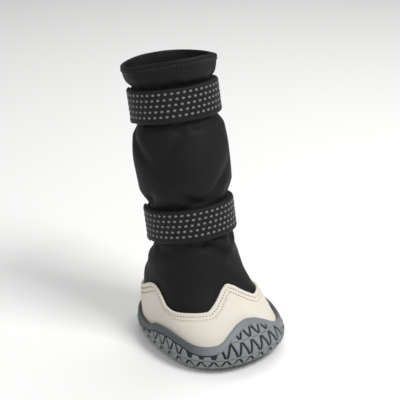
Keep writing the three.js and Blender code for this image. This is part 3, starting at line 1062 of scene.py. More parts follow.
@dataclass
class Rand:
    """Suede rand round the foot with two rows of stitches under its scalloped edge."""

    columns: int = 260
    outer_rows: int = 56
    rim_rows: int = 7
    inner_rows: int = 14
    stitch_drops: tuple[float, float] = (2.1, 4.1)
    stitch_pitch: float = 1.75
    stitch_size: tuple[float, float, float] = (1.15, 0.5, 0.34)
    stitch_sunk: float = 0.12
    groove_depth: float = 0.3
    groove_width: float = 0.5
    foot_radius: float = 32.0
    row_crowding: float = 1.6
    rim_start: float = 0.1
    rim_flat: float = 0.5
    waves: tuple[Wave, ...] = (Wave(0.12, 3, 0.2), Wave(0.08, 7, -0.3, 1.0))
    swell_base: float = 0.12
    swell_fade: float = 4.0

    def edge_point(self, angle: np.ndarray, drop: float, offset: float) -> tuple[np.ndarray, np.ndarray]:
        """Places on the rand that lie a drop inside its edge, square to it.

        Args:
            angle: radians from the toe along the edge.
            drop: distance inside the edge.
            offset: distance outwards from the upper.

        Returns:
            The angle and the place along the boot of each.
        """
        step = 0.004
        top = LAST.rand_top(angle)
        ahead = LAST.point(angle + step, LAST.rand_top(angle + step), offset)
        behind = LAST.point(angle - step, LAST.rand_top(angle - step), offset)
        run = ahead - behind
        inward = np.cross(run, LAST.normal(angle, top))
        inward = inward / np.linalg.norm(inward, axis=1, keepdims=True)
        inward = inward * np.where(inward[:, 2:] > 0, -1.0, 1.0)
        around = (LAST.point(angle + step, top, offset) - LAST.point(angle - step, top, offset)) / (2 * step)
        rise = (LAST.point(angle, top + step, offset) - LAST.point(angle, top - step, offset)) / (2 * step)
        turned = angle + drop * np.sum(inward * around, axis=1) / np.sum(around**2, axis=1)
        place = top + drop * np.sum(inward * rise, axis=1) / np.sum(rise**2, axis=1)
        return turned, place

    def swell(self, angle: np.ndarray, at: np.ndarray) -> np.ndarray:
        """Soft rise of the suede clear of the cup."""
        clear = smooth_step((at - LAST.cup_top(angle)) / self.swell_fade)
        return (ripple(self.waves, angle, at) + self.swell_base) * clear

    def seam(self, drop: float) -> tuple[np.ndarray, np.ndarray]:
        """Evenly spaced places along a row of stitches.

        Args:
            drop: distance of the row inside the edge.

        Returns:
            Angles and places along the boot.
        """
        angle = np.linspace(0, FULL_TURN, 2 * RING_POINTS - 1)
        outside = LAST.fit_gap + LAST.rand_wall
        turned, place = self.edge_point(angle, drop, outside)
        run = way_along(LAST.point(turned, place, outside))
        count = round(run[-1] / self.stitch_pitch)
        stops = np.arange(count) * run[-1] / count
        return np.interp(stops, run, turned), np.interp(stops, run, place)

    def build(self) -> list[bpy.types.Object]:
        """Builds the rand and its stitches.

        Returns:
            The dressed pieces.
        """
        wall = LAST.rand_wall
        radius = wall / 2
        inside, outside = LAST.fit_gap, LAST.fit_gap + wall
        shares = 1 - np.linspace(1, 0, self.outer_rows) ** self.row_crowding
        rows = [(share, 0.0, outside) for share in shares]
        for turn in np.linspace(self.rim_start, math.pi, self.rim_rows):
            past = radius * math.sin(turn) * self.rim_flat
            rows.append((1, -past, inside + radius + radius * math.cos(turn)))
        rows += [(share, 0.0, inside) for share in np.linspace(1, 0, self.inner_rows)[1:]]
        rows.append((0, 0.0, outside))
        profile = np.array(rows)

        def shape(share: np.ndarray, row: np.ndarray) -> np.ndarray:
            """Gives the rand's points in millimetres for shares round it and rows of its profile."""
            angle = share * FULL_TURN
            up, drop, offset = profile[row.astype(int)].T
            top = LAST.rand_top(angle)
            at = LAST.floor + (top - radius * self.rim_flat - LAST.floor) * up - drop
            climb = LAST.rand_top(angle + STEP_ROUND) - LAST.rand_top(angle - STEP_ROUND)
            slope = climb / (2 * STEP_ROUND * self.foot_radius)
            inside_edge = (top - at) / np.sqrt(1 + slope**2)
            outer = row < self.outer_rows
            for seam_drop in self.stitch_drops:
                dip = self.groove_depth * np.exp(-(((inside_edge - seam_drop) / self.groove_width) ** 2))
                offset = offset - np.where(outer, dip, 0.0)
            return LAST.point(angle, at, offset + np.where(outer, self.swell(angle, at), 0.0))

        finishes = Finishes()
        rand = lay_grid("suede_rand", self.columns, len(profile) - 1, shape)
        dress(rand, (finishes.suede,), ("rand",))
        pieces = [rand]
        for number, drop in enumerate(self.stitch_drops, start=1):
            angle, at = self.seam(drop)
            offset = outside + self.swell(angle, at) - self.stitch_sunk
            origins = LAST.to_row(LAST.point(angle, at, offset))
            ahead = np.roll(origins, -1, axis=0)
            stitch = model_stitch(*self.stitch_size)
            row = scatter(f"rand_stitches_{number}", stitch, origins, ahead - origins, LAST.normal(angle, at))
            dress(row, (finishes.rand_thread,))
            pieces.append(row)
        return pieces


# Rubber cup sole


def clip(points: np.ndarray, normal: np.ndarray, limit: float) -> np.ndarray:
    """Keeps the part of a convex outline on one side of a line.

    Args:
        points: the outline's corners in order.
        normal: direction that points away from the kept side.
        limit: distance of the line along the normal.

    Returns:
        The corners that are left, perhaps none.
    """
    kept = []
    for here, there in zip(points, np.roll(points, -1, axis=0)):
        first, second = here @ normal - limit, there @ normal - limit
        if first <= 0:
            kept.append(here)
        if first * second < 0:
            kept.append(here + (there - here) * first / (first - second))
    return np.array(kept).reshape(-1, 2)


def outline_area(points: np.ndarray) -> float:
    """Signed area of an outline."""
    x, y = points[:, 0], points[:, 1]
    return float(np.sum(x * np.roll(y, -1) - y * np.roll(x, -1)) / 2)


def clean_outline(points: np.ndarray, shortest: float) -> np.ndarray:
    """Drops corners that lie too near the next one, and turns the outline anticlockwise.

    Args:
        points: the corners.
        shortest: shortest side that is kept.

    Returns:
        The corners that are left.
    """
    if len(points) < 3:
        return points
    if outline_area(points) < 0:
        points = points[::-1]
    gaps = np.linalg.norm(np.roll(points, -1, axis=0) - points, axis=1)
    return points[gaps > shortest]


def shrink(points: np.ndarray, amount: float) -> np.ndarray:
    """Moves each side of an anticlockwise outline inwards.

    Args:
        points: the corners.
        amount: distance to move.

    Returns:
        As many corners as before.
    """
    ahead = np.roll(points, -1, axis=0) - points
    ahead = ahead / np.linalg.norm(ahead, axis=1, keepdims=True)
    inward = np.stack([-ahead[:, 1], ahead[:, 0]], axis=1)
    before = np.roll(inward, 1, axis=0)
    facing = 1 + np.sum(inward * before, axis=1, keepdims=True)
    return points + amount * (inward + before) / np.maximum(facing, 0.3)


@dataclass
class CupSole:
    """Moulded cup with a plain band along its top and triangular lugs below it.

    Rows of the band hold the share of its height and the offset from its plain face.
    """

    columns: int = 240
    under_rows: int = 10
    edge_rows: int = 7
    wall_rows: int = 8
    inside_rows: int = 12
    floor_rows: int = 9
    band: float = 3.2
    band_step: float = 0.5
    band_rows: tuple[tuple[float, float], ...] = (
        (0, -0.25), (0.12, -0.02), (0.25, 0), (0.6, 0), (0.8, -0.04), (0.92, -0.2), (0.99, -0.5), (1, -0.8),
    )
    lug_pitch: float = 6.8
    groove: float = 1.2
    ground_depth: float = 1.6
    wall_depth: float = 0.95
    wall_row: float = 5.8
    lug_rows: int = 4
    way_height: float = 8.0
    row_gap: float = 0.03
    bar_length: float = 3.0
    bar_height: float = 1.1
    bar_drop: float = 0.08
    band_gap: float = 0.35
    toe_reach: float = 1.1
    toe_cosine: float = 0.72
    toe_fade: float = 0.2
    chamfer: float = 0.32
    lug_root: float = 0.15
    sharp_angle: float = 28.0
    first_cut: float = 0.9
    cut_pitch: float = 1.1
    same_point: float = 0.01
    shortest_side: float = 0.35
    smallest_lug: float = 1.6
    rim_steps: int = 72
    rim_reach: float = 0.1
    pad_width: float = 19.0
    pad_corner: float = 2.0
    pad_corner_points: int = 6
    pad_moat: float = 1.2

    @property
    def edge_run(self) -> float:
        """Way round the lower edge's rounding."""
        return LAST.edge_round * QUARTER_TURN

    def wall_profile(self, way: np.ndarray, depth: np.ndarray | float) -> tuple[np.ndarray, np.ndarray]:
        """Offset and height of the lugs' surface, from the ground round the edge and up the wall.

        Args:
            way: distance from the flat ground face.
            depth: how deep below the lugs' tops.

        Returns:
            Offsets from the upper and heights.
        """
        turn = np.clip(way / self.edge_run, 0, 1) * QUARTER_TURN
        round_ = LAST.edge_round
        offset = LAST.cup_outside - round_ + (round_ - depth) * np.sin(turn)
        height = round_ - (round_ - depth) * np.cos(turn) + np.maximum(0, way - self.edge_run)
        return offset, height

    def band_foot(self, angle: np.ndarray) -> np.ndarray:
        """Way up the wall to the plain band."""
        return self.edge_run + LAST.cup_top(angle) - self.band - LAST.edge_round

    def body(self) -> bpy.types.Object:
        """Builds the cup: groove floors outside, plain inside.

        Returns:
            The dressed cup.
        """
        kinds: list[tuple[str, float]] = [("under", share) for share in np.linspace(0, 1, self.under_rows)]
        kinds += [("edge", share) for share in np.linspace(0, 1, self.edge_rows + 1)[1:]]
        kinds += [("wall", share) for share in np.linspace(0, 1, self.wall_rows + 1)[1:]]
        band_start = len(kinds)
        kinds += [("band", share) for share, _ in self.band_rows]
        drops = dict(self.band_rows)
        inside_start = len(kinds)
        kinds += [("inside", share) for share in np.linspace(0, 1, self.inside_rows)]
        kinds += [("floor", share) for share in np.linspace(1, 0, self.floor_rows + 1)[1:]]
        names = np.array([kind for kind, _ in kinds])
        shares = np.array([share for _, share in kinds])
        ground, wall = self.ground_depth, self.wall_depth

        def shape(share: np.ndarray, row: np.ndarray) -> np.ndarray:
            """Gives the cup's points in millimetres for shares round it and rows of its profile."""
            angle = share * FULL_TURN
            index = row.astype(int)
            kind, along = names[index], shares[index]
            points = np.zeros((len(angle), 3))
            for name in ("under", "edge", "wall", "band", "inside", "floor"):
                pick = kind == name
                turn, part = angle[pick], along[pick]
                top = LAST.cup_top(turn)
                foot = top - self.band
                if name == "under":
                    rim = LAST.point(turn, np.zeros_like(turn), LAST.cup_outside - LAST.edge_round)
                    height = np.full_like(turn, ground)
                    points[pick] = LAST.spoke(rim, part, height)
                elif name == "edge":
                    depth = ground + (wall - ground) * part
                    offset, height = self.wall_profile(self.edge_run * part, depth)
                    points[pick] = LAST.point(turn, height, offset)
                elif name == "wall":
                    height = LAST.edge_round + (foot - LAST.edge_round) * part
                    points[pick] = LAST.point(turn, height, LAST.cup_outside - wall)
                elif name == "band":
                    drop = np.array([drops[float(value)] for value in part])
                    height = foot + self.band * part
                    points[pick] = LAST.point(turn, height, LAST.cup_outside - self.band_step + drop)
                elif name == "inside":
                    height = top + (LAST.sole_thickness - top) * part
                    points[pick] = LAST.point(turn, height, LAST.cup_inside)
                else:
                    rim = LAST.point(turn, np.full_like(turn, LAST.sole_thickness), LAST.cup_inside)
                    dish = LAST.floor_dish * (1 - part * part)
                    height = LAST.sole_thickness - dish
                    points[pick] = LAST.spoke(rim, part, height)
            return points

        cup = lay_grid("rubber_cup", self.columns, len(kinds) - 1, shape, (band_start - 1, inside_start))
        finishes = Finishes()
        # The groove floors carry painted shade; the band and the cup's inside carry the band rubber, painted
        # shade along the sides and painted light at the toe
        dress(cup, (finishes.grooves, finishes.band, finishes.band), ("outsole",))
        return cup

    def lug_mesh(
        self,
        name: str,
        outlines: Sequence[np.ndarray],
        depth: float,
        cuts: Sequence[tuple[int, float]],
        place: Callable[[np.ndarray], np.ndarray],
    ) -> bpy.types.Object:
        """Builds chamfered lugs from flat outlines and lays them on the sole.

        Args:
            name: name of the piece.
            outlines: corners of each lug's foot, anticlockwise, on a flat chart.
            depth: height of the lugs.
            cuts: axis and place of each cut that lets the lugs bend.
            place: turns chart points and depths into millimetres on the sole.

        Returns:
            The dressed piece.
        """
        points: list[tuple[float, float, float]] = []
        faces: list[list[int]] = []
        for outline in outlines:
            count = len(outline)
            start = len(points)
            tops = shrink(outline, self.chamfer)
            for ring, level in ((outline, depth + self.lug_root), (outline, self.chamfer), (tops, 0.0)):
                points += [(x, y, level) for x, y in ring]
            for ring in range(2):
                low = start + ring * count
                faces += [[low + k, low + (k + 1) % count, low + count + (k + 1) % count, low + count + k]
                          for k in range(count)]
            faces.append([start + 2 * count + k for k in range(count)])
            faces.append([start + k for k in reversed(range(count))])
        mesh = bmesh.new()
        corners = [mesh.verts.new(point) for point in points]
        for face in faces:
            mesh.faces.new([corners[index] for index in face])
        for axis, at in cuts:
            spot, normal = [0.0, 0.0, 0.0], [0.0, 0.0, 0.0]
            spot[axis], normal[axis] = at, 1.0
            parts = [*mesh.verts, *mesh.edges, *mesh.faces]
            bmesh.ops.bisect_plane(mesh, geom=parts, dist=1e-5, plane_co=spot, plane_no=normal)
        mesh.verts.ensure_lookup_table()
        flat = np.array([tuple(vertex.co) for vertex in mesh.verts])
        for vertex, placed in zip(mesh.verts, LAST.to_row(place(flat))):
            vertex.co = placed
        data = bpy.data.meshes.new(name)
        mesh.to_mesh(data)
        mesh.free()
        piece = bpy.data.objects.new(name, data)
        bpy.context.scene.collection.objects.link(piece)
        close_up(piece)
        bpy.ops.object.shade_smooth_by_angle(angle=math.radians(self.sharp_angle))
        dress(piece, (Finishes().rubber,))
        return piece

    def ground_lugs(self) -> bpy.types.Object:
        """Builds the lugs of the flat ground face and the plain heel pad.

        Returns:
            The dressed piece.
        """
        side = self.lug_pitch * 2 / math.sqrt(3)
        angle = np.linspace(0, FULL_TURN, self.rim_steps + 1)[:-1]
        rim = LAST.point(angle, np.zeros_like(angle), LAST.cup_outside - LAST.edge_round)[:, :2]
        sides = list(zip(rim, np.roll(rim, -1, axis=0)))
        pad_x = LAST.pad_x
        reach_x, reach_y = LAST.pad_length / 2 + self.pad_moat, self.pad_width / 2 + self.pad_moat
        far_x = math.ceil(LAST.sole_length / 2 / self.lug_pitch) + 1
        far_y = math.ceil(LAST.sole_width / 2 / side) + 1
        outlines = []
        for i in range(-far_x, far_x + 1):
            for j in range(-far_y, far_y + 1):
                corner = np.array([i * self.lug_pitch, j * side + (i % 2) * side / 2])
                step = np.array([self.lug_pitch, side / 2])
                up = np.array([0.0, side])
                across, over = corner + step, corner + up
                for triangle in ((corner, across, over), (across, across + up, over)):
                    outlines += self.trim(np.array(triangle), sides, (pad_x, reach_x, reach_y))
        corner = self.pad_corner
        x, y = LAST.pad_length / 2 - corner, self.pad_width / 2 - corner
        pad = []
        for turn, (side_x, side_y) in enumerate(((1, 1), (-1, 1), (-1, -1), (1, -1))):
            for step in np.linspace(0, QUARTER_TURN, self.pad_corner_points):
                around = turn * QUARTER_TURN + step
                round_x, round_y = corner * math.cos(around), corner * math.sin(around)
                pad.append((pad_x + side_x * x + round_x, side_y * y + round_y))
        outlines.append(np.array(pad))
        return self.lug_mesh("ground_lugs", outlines, self.ground_depth, (), lambda flat: flat)

    def trim(
        self,
        triangle: np.ndarray,
        sides: Sequence[tuple[np.ndarray, np.ndarray]],
        pad: tuple[float, float, float],
    ) -> list[np.ndarray]:
        """Cuts a lug to the sole's outline and round the heel pad.

        Args:
            triangle: the lug's corners before its grooves.
            sides: the sole's outline as pairs of points.
            pad: place and half sizes of the opening for the pad.

        Returns:
            What is left of the lug, as outlines.
        """
        triangle = clean_outline(triangle, self.same_point)
        lug = shrink(triangle, self.groove / 2)
        for here, there in sides:
            if len(lug) < 3:
                return []
            ahead = (there - here) / np.linalg.norm(there - here)
            normal = np.array([ahead[1], -ahead[0]])
            lug = clip(lug, normal, float(here @ normal) - self.rim_reach)
        pad_x, reach_x, reach_y = pad
        parts = []
        rest = lug
        directions = np.array([[1.0, 0.0], [-1.0, 0.0], [0.0, 1.0], [0.0, -1.0]])
        limits = (pad_x - reach_x, -pad_x - reach_x, -reach_y, -reach_y)
        for direction, limit in zip(directions, limits):
            if len(rest) < 3:
                break
            parts.append(clip(rest, direction, limit))
            rest = clip(rest, -direction, -limit)
        tidy = [clean_outline(part, self.shortest_side) for part in parts if len(part) >= 3]
        return [part for part in tidy if len(part) >= 3 and outline_area(part) > self.smallest_lug]

    def lug_limit(self, middle: float) -> tuple[float, float]:
        """Finds where the lugs end under the band.

        Args:
            middle: place round the cup.

        Returns:
            The way up the wall and its slope.
        """
        near = np.array([middle - 1, middle, middle + 1])
        span = LAST.angle_for(near, self.way_height, LAST.cup_outside)
        at_toe = smooth_step((np.cos(span) - self.toe_cosine) / self.toe_fade)
        tops = self.band_foot(span) - self.band_gap + self.toe_reach * at_toe
        return float(tops[1]), float(tops[2] - tops[0]) / 2

    def wall_lugs(self) -> list[bpy.types.Object]:
        """Builds the lugs that wrap round the edge and up the wall, and the bars that part their rows.

        Returns:
            The dressed lugs and bars.
        """
        girth = LAST.girth(self.way_height, LAST.cup_outside)
        count = round(girth / (self.wall_row * 2 / math.sqrt(3)))
        side = girth / count
        outlines = []
        for row in range(self.lug_rows):
            low, high = row * self.wall_row, (row + 1) * self.wall_row
            for k in range(count):
                start = (k + 0.5 * (row % 2)) * side
                upward = np.array([(start, low), (start + side, low), (start + side / 2, high)])
                corners = [(start + side, low), (start + 1.5 * side, high), (start + side / 2, high)]
                downward = np.array(corners)
                for triangle in (upward, downward):
                    lug = shrink(clean_outline(triangle, self.same_point), self.groove / 2)
                    level = low if triangle is upward else high
                    tip = lug[np.argmax(np.abs(lug[:, 1] - level))]
                    reach = abs(tip[1] - level)
                    lug = tip + (lug - tip) * (reach - self.row_gap) / (reach - self.groove / 2)
                    middle = lug[:, 0].mean()
                    top, slope = self.lug_limit(middle)
                    normal = np.array([-slope, 1.0]) / math.hypot(slope, 1.0)
                    limit = float(np.array([middle, top]) @ normal)
                    lug = clean_outline(clip(lug, normal, limit), self.shortest_side)
                    if len(lug) >= 3 and outline_area(lug) > self.smallest_lug:
                        outlines.append(lug)
        cuts = [(1, way) for way in np.arange(self.first_cut, self.lug_rows * self.wall_row, self.cut_pitch)]
        cuts += [(0, way) for way in np.arange(side / 2, girth + side, side / 2)]

        def place(flat: np.ndarray) -> np.ndarray:
            """Gives points on the wall for ways round and up it and depths below the lugs' tops."""
            angle = LAST.angle_for(flat[:, 0], self.way_height, LAST.cup_outside)
            offset, height = self.wall_profile(flat[:, 1], flat[:, 2])
            return LAST.point(angle, height, offset)

        bars = []
        half_long, half_high = self.bar_length / 2, self.bar_height / 2
        for row in range(1, self.lug_rows):
            level = row * self.wall_row
            for k in range(count):
                middle = (k + 0.5 * (row % 2)) * side
                if level + half_high < self.lug_limit(middle)[0]:
                    corner = np.array([middle, level])
                    corners = ((-half_long, -half_high), (half_long, -half_high))
                    bars.append(np.array([corner + c for c in corners] + [corner - c for c in corners]))

        def place_lower(flat: np.ndarray) -> np.ndarray:
            """Gives the same points for the bars, a little below the lugs' tops."""
            return place(flat + np.array([0.0, 0.0, self.bar_drop]))

        lugs = self.lug_mesh("wall_lugs", outlines, self.wall_depth, cuts, place)
        return [lugs, self.lug_mesh("wall_bars", bars, self.wall_depth, (), place_lower)]

    def build(self) -> list[bpy.types.Object]:
        """Builds the cup and its lugs."""
        return [self.body(), self.ground_lugs(), *self.wall_lugs()]


# Footbed


@dataclass
class Footbed:
    """Loose felt-topped insole in the cup.

    Its face ends and its rounded edge begins at shares of the way from its middle to its rim.
    """

    columns: int = 96
    rings: int = 16
    thickness: float = 2.6
    crown: float = 0.35
    face_end: float = 0.98
    edge_start: float = 0.985
    edge_rows: int = 7

    def build(self) -> list[bpy.types.Object]:
        """Builds the insole with a soft crown and drawn-in edges.

        Returns:
            The dressed insole.
        """
        offset = -LAST.upper_wall - LAST.fit_gap
        rings = [(share, 0.0, 0.0) for share in np.linspace(0, self.face_end, self.rings)]
        for turn in np.linspace(-QUARTER_TURN, QUARTER_TURN, self.edge_rows)[1:-1]:
            part = self.edge_start + (1 - self.edge_start) * math.cos(turn)
            rings.append((part, (1 + math.sin(turn)) / 2, 0.0))
        rings += [(share, 1.0, 1.0) for share in np.linspace(self.face_end, 0, self.rings)]
        profile = np.array(rings)

        def shape(share: np.ndarray, row: np.ndarray) -> np.ndarray:
            """Gives the insole's points in millimetres for shares round it and rows of its profile."""
            angle = share * FULL_TURN
            part, up, crowned = profile[row.astype(int)].T
            rim = LAST.point(angle, np.full_like(angle, LAST.floor), offset)
            height = LAST.floor + self.thickness * up - LAST.floor_dish * (1 - part * part)
            height = height + self.crown * crowned * (1 - part**2) * part**2
            return LAST.spoke(rim, part, height)

        footbed = lay_grid("felt_footbed", self.columns, len(rings) - 1, shape)
        dress(footbed, (Finishes().felt,), ("insole",))
        return [footbed]


# Straps


@dataclass
class Strap:
    """Webbing strap with printed dots: a band, and a free end laid over it.

    Angles are degrees from the toe. The selvedge and the hook tape take their places across the
    strap as shares of its half width, and the hook tape runs from hook_from to hook_to degrees
    behind the tip.
    """

    name: str
    at: float
    band_columns: int = 180
    lap_columns: int = 120
    points_across: int = 29
    band_wall: float = 1.3
    lap_wall: float = 1.5
    lap_start: float = 80.0
    lap_tip: float = -132.0
    lap_slant: float = 10.0
    dot_rows: int = 5
    dot_row_pitch: float = 2.9
    dot_pitch: float = 3.3
    dot_slant: float = 0.3
    dot_shift: float = 0.7
    dot_size: tuple[float, float, float] = (1.7, 1.25, 0.16)
    dot_sunk: float = 0.03
    tip_margin: float = 3.2
    root_margin: float = 4.0
    selvedge: float = 0.16
    selvedge_at: float = 0.94
    selvedge_width: float = 0.035
    edge_steps: int = 5
    hook_from: float = 3.0
    hook_to: float = 27.0
    hook_low: float = -1.02
    hook_high: float = -0.8
    hook_corner: float = 0.04
    hook_rise: float = 0.5
    hook_columns: int = 24
    box_half_high: float = 6.2
    box_half_long: float = 5.0
    box_from_root: float = 7.5
    stitch_pitch: float = 1.9
    stitch_size: tuple[float, float, float] = (1.4, 0.4, 0.36)
    stitch_lift: float = 0.02

    def section(self, wall: float) -> np.ndarray:
        """Works out the outline of the webbing.

        Args:
            wall: its thickness.

        Returns:
            Place across it from -1 to 1, and share of its thickness, for each point.
        """
        across = np.linspace(-1, 1, self.points_across)
        round_ = wall / LAST.strap_width
        ridge = np.exp(-(((np.abs(across) - self.selvedge_at) / self.selvedge_width) ** 2))
        outer = list(zip(across * (1 - round_), 1 + self.selvedge / wall * ridge))
        turns = np.linspace(QUARTER_TURN, -QUARTER_TURN, self.edge_steps + 2)[1:-1]
        right = [((1 - round_) + round_ * math.cos(turn), 0.5 + 0.5 * math.sin(turn)) for turn in turns]
        inner = [(value * (1 - round_), 0.0) for value in across[::-4]]
        left = [(-(1 - round_) - round_ * math.cos(turn), 0.5 + 0.5 * math.sin(turn)) for turn in turns[::-1]]
        return np.array([*outer, *right, *inner, *left, outer[0]])

    def band(self) -> bpy.types.Object:
        """Builds the band round the shaft.

        Returns:
            The dressed band.
        """
        section = self.section(self.band_wall)

        def shape(share: np.ndarray, row: np.ndarray) -> np.ndarray:
            """Gives the band's points in millimetres for shares round it and rows of its outline."""
            angle = share * FULL_TURN
            across, thick = section[row.astype(int)].T
            offset = LAST.fit_gap + self.band_wall * thick
            return LAST.point(angle, self.at + across * LAST.strap_width / 2, offset)

        band = lay_grid(f"{self.name}_band", self.band_columns, len(section) - 1, shape)
        dress(band, (Finishes().webbing,), (self.name,))
        return band

    def slanted_tip(self, across: np.ndarray | float) -> np.ndarray | float:
        """Angle of the free end's slanted tip, in degrees, for a place across it."""
        return self.lap_tip - self.lap_slant * across / 2

    def lap(self) -> bpy.types.Object:
        """Builds the free end over the band, with both its ends closed.

        Returns:
            The dressed free end.
        """
        section = self.section(self.lap_wall)
        inside = 2 * LAST.fit_gap + self.band_wall
        columns = self.lap_columns

        def shape(share: np.ndarray, row: np.ndarray) -> np.ndarray:
            """Gives the free end's points in millimetres for shares along it and rows of its outline."""
            across, thick = section[row.astype(int)].T
            column = np.rint(share * columns)
            ends = (column == 0) | (column == columns)
            part = np.clip((column - 1) / (columns - 2), 0, 1)
            thick = np.where(ends, 0.5, thick)
            angle = np.radians(self.lap_start + (self.slanted_tip(across) - self.lap_start) * part)
            return LAST.point(angle, self.at + across * LAST.strap_width / 2, inside + self.lap_wall * thick)

        lap = lay_grid(f"{self.name}_free_end", columns, len(section) - 1, shape)
        dress(lap, (Finishes().webbing,), (f"{self.name}_lap",))
        return lap

    def dots(self) -> bpy.types.Object:
        """Builds the rows of printed dots on the band and the free end.

        Returns:
            The dressed dots.
        """
        angles, places, offsets = [], [], []
        on_band = LAST.fit_gap + self.band_wall
        on_lap = on_band + LAST.fit_gap + self.lap_wall
        girth = LAST.girth(self.at, on_lap)
        count = round(girth / self.dot_pitch)
        for row in range(self.dot_rows):
            at = self.at + (row - (self.dot_rows - 1) / 2) * self.dot_row_pitch + self.dot_shift
            across = (at - self.at) / (LAST.strap_width / 2)
            stops = (np.arange(count) + self.dot_slant * row) * girth / count
            angle = np.degrees(LAST.angle_for(stops, self.at, on_lap))
            angle = np.mod(angle + 180, 360) - 180
            tip, root = self.slanted_tip(across), self.lap_start
            over = (angle > tip + self.tip_margin) & (angle < root - self.root_margin)
            beside = (angle < tip - self.tip_margin) | (angle > root + self.root_margin)
            keep = over | beside
            angles.append(np.radians(angle[keep]))
            places.append(np.full(keep.sum(), at))
            offsets.append(np.where(over, on_lap, on_band)[keep])
        angle, at, offset = np.concatenate(angles), np.concatenate(places), np.concatenate(offsets)
        origins, along = lay_out(angle, at, offset - self.dot_sunk)
        dot = model_dot(*self.dot_size)
        dots = scatter(f"{self.name}_dots", dot, origins, along, LAST.normal(angle, at))
        dress(dots, (Finishes().dots,))
        return dots

    def hook_edge(self) -> bpy.types.Object:
        """Builds the strip of hook tape that shows along the free end's lower edge by its tip.

        Returns:
            The dressed strip.
        """
        inside = 3 * LAST.fit_gap + self.band_wall + self.lap_wall - self.hook_rise
        start, end = self.lap_tip + self.hook_from, self.lap_tip + self.hook_to
        low, high, corner = self.hook_low, self.hook_high, self.hook_corner
        sides = np.array([low, low, low + corner, high - corner, high, high, low])
        rises = self.hook_rise * np.array([0.0, 0.7, 1.0, 1.0, 0.7, 0.0, 0.0])

        def shape(share: np.ndarray, row: np.ndarray) -> np.ndarray:
            """Gives the strip's points in millimetres for shares along it and rows of its outline."""
            angle = np.radians(start + (end - start) * share)
            across, rise = sides[row.astype(int)], rises[row.astype(int)]
            column = np.rint(share * self.hook_columns)
            ends = (column == 0) | (column == self.hook_columns)
            offset = inside + np.where(ends, 0.0, rise)
            return LAST.point(angle, self.at + across * LAST.strap_width / 2, offset)

        strip = lay_grid(f"{self.name}_hook_edge", self.hook_columns, len(sides) - 1, shape)
        dress(strip, (Finishes().hook_tape,))
        return strip

    def tack_stitches(self) -> bpy.types.Object:
        """Builds the sewn box that holds the free end's root.

        Returns:
            The dressed stitches.
        """
        offset = 2 * LAST.fit_gap + self.band_wall + self.lap_wall
        high, long = self.box_half_high, self.box_half_long
        middle = LAST.girth(self.at, offset) * (self.lap_start / 360) - self.box_from_root
        spots = []
        for step in np.arange(-long, long, self.stitch_pitch):
            spots += [(step, high, False), (step, -high, False)]
        for step in np.arange(-high, high, self.stitch_pitch):
            spots += [(long, step, True), (-long, step, True)]
        across, up, upright = (np.array(column) for column in zip(*spots))
        angle = LAST.angle_for(middle + across, self.at, offset)
        at = self.at + up
        offset = offset + self.stitch_lift
        origins, level = lay_out(angle, at, offset)
        rise = LAST.to_row(LAST.point(angle, at + STEP_UP, offset)) - origins
        along = np.where(upright[:, None], rise, level)
        stitch = model_stitch(*self.stitch_size)
        box = scatter(f"{self.name}_stitches", stitch, origins, along, LAST.normal(angle, at))
        dress(box, (Finishes().dark_thread,))
        return box

    def build(self) -> list[bpy.types.Object]:
        """Builds the strap with all that lies on it."""
        return [self.band(), self.lap(), self.dots(), self.hook_edge(), self.tack_stitches()]


# Studio


@dataclass(frozen=True)
class Lamp:
    """A soft square lamp: direction as azimuth and elevation in degrees, and size, distance and power."""

    name: str
    azimuth: float
    elevation: float
    size: float
    distance: float
    power: float


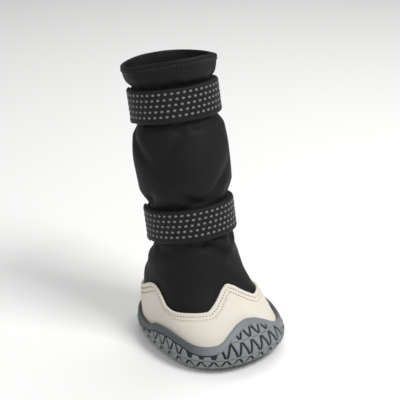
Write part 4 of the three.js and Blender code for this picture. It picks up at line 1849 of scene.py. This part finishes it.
@dataclass
class Studio:
    """Pale floor, soft lamps and the camera at the photograph's angle."""

    azimuth: float = 51.5
    elevation: float = 24.0
    lens: float = 100.0
    sensor: float = 36.0
    fill: float = 1.06
    world_strength: float = 0.3
    floor_size: float = 3.0
    floor_finish: Finish = Finish("matte_paper_sweep", "#fcfcfb", "#f9f9f8", 0.9, 300.0, 2.0, 0.005)
    lamps: tuple[Lamp, ...] = (
        Lamp("key", 112.0, 52.0, 0.35, 0.9, 5.6),
        Lamp("front_fill", 35.0, 42.0, 0.8, 1.1, 1.9),
        Lamp("left_fill", -35.0, 35.0, 0.8, 1.0, 1.0),
        Lamp("back", 215.0, 55.0, 0.6, 0.9, 2.6),
    )

    @property
    def middle(self) -> Vector:
        """Middle of the boot's box."""
        return (Vector(CAD_BOX[0]) + Vector(CAD_BOX[1])) / 2

    def direction(self, azimuth: float, elevation: float) -> Vector:
        """Direction from the boot towards a lamp or the camera."""
        a, e = math.radians(azimuth), math.radians(elevation)
        return Vector((math.sin(a) * math.cos(e), -math.cos(a) * math.cos(e), math.sin(e)))

    def aim(self, thing: bpy.types.Object, azimuth: float, elevation: float, distance: float) -> None:
        """Places a lamp or camera and turns it to the boot's middle.

        Args:
            thing: the lamp or camera.
            azimuth: its direction from the boot in degrees.
            elevation: its height over the horizon in degrees.
            distance: its distance from the boot's middle in metres.
        """
        heading = self.direction(azimuth, elevation)
        thing.location = self.middle + heading * distance
        thing.rotation_euler = heading.to_track_quat("Z", "Y").to_euler()

    def build(self) -> None:
        """Builds floor, lamps, world and camera."""
        deselect_all()
        bpy.ops.mesh.primitive_plane_add(size=self.floor_size, location=(0, 0, 0))
        floor = bpy.context.active_object
        floor.name = "floor"
        floor.data.materials.append(self.floor_finish.material())
        for lamp in self.lamps:
            data = bpy.data.lights.new(lamp.name, "AREA")
            data.size, data.energy = lamp.size, lamp.power
            thing = bpy.data.objects.new(lamp.name, data)
            bpy.context.scene.collection.objects.link(thing)
            self.aim(thing, lamp.azimuth, lamp.elevation, lamp.distance)
        world = bpy.data.worlds.new("studio")
        world.use_nodes = True
        background = world.node_tree.nodes["Background"]
        background.inputs["Color"].default_value = linear("#ffffff")
        background.inputs["Strength"].default_value = self.world_strength
        bpy.context.scene.world = world
        bpy.context.scene.view_settings.view_transform = "Standard"
        data = bpy.data.cameras.new("camera")
        data.lens, data.sensor_width = self.lens, self.sensor
        camera = bpy.data.objects.new("camera", data)
        bpy.context.scene.collection.objects.link(camera)
        span = (Vector(CAD_BOX[1]) - Vector(CAD_BOX[0])).length * self.fill
        self.aim(camera, self.azimuth, self.elevation, span * self.lens / self.sensor)
        bpy.context.scene.camera = camera
        log.info("studio: camera at %.0f, %.0f degrees", self.azimuth, self.elevation)


def main() -> None:
    """Builds the boot from the inside out, then the studio."""
    logging.basicConfig(level=logging.INFO, format="%(message)s")
    log.info("frame: %d nodes", len(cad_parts))
    assemblies = [
        CupSole(),
        Footbed(),
        Rand(),
        Upper(),
        Strap("ankle_strap", LAST.ankle_strap),
        Strap("cuff_strap", LAST.cuff_strap),
    ]
    for assembly in assemblies:
        pieces = assembly.build()
        log.info("%s: %d pieces", type(assembly).__name__, len(pieces))
    Studio().build()


if __name__ == "__main__":
    main()
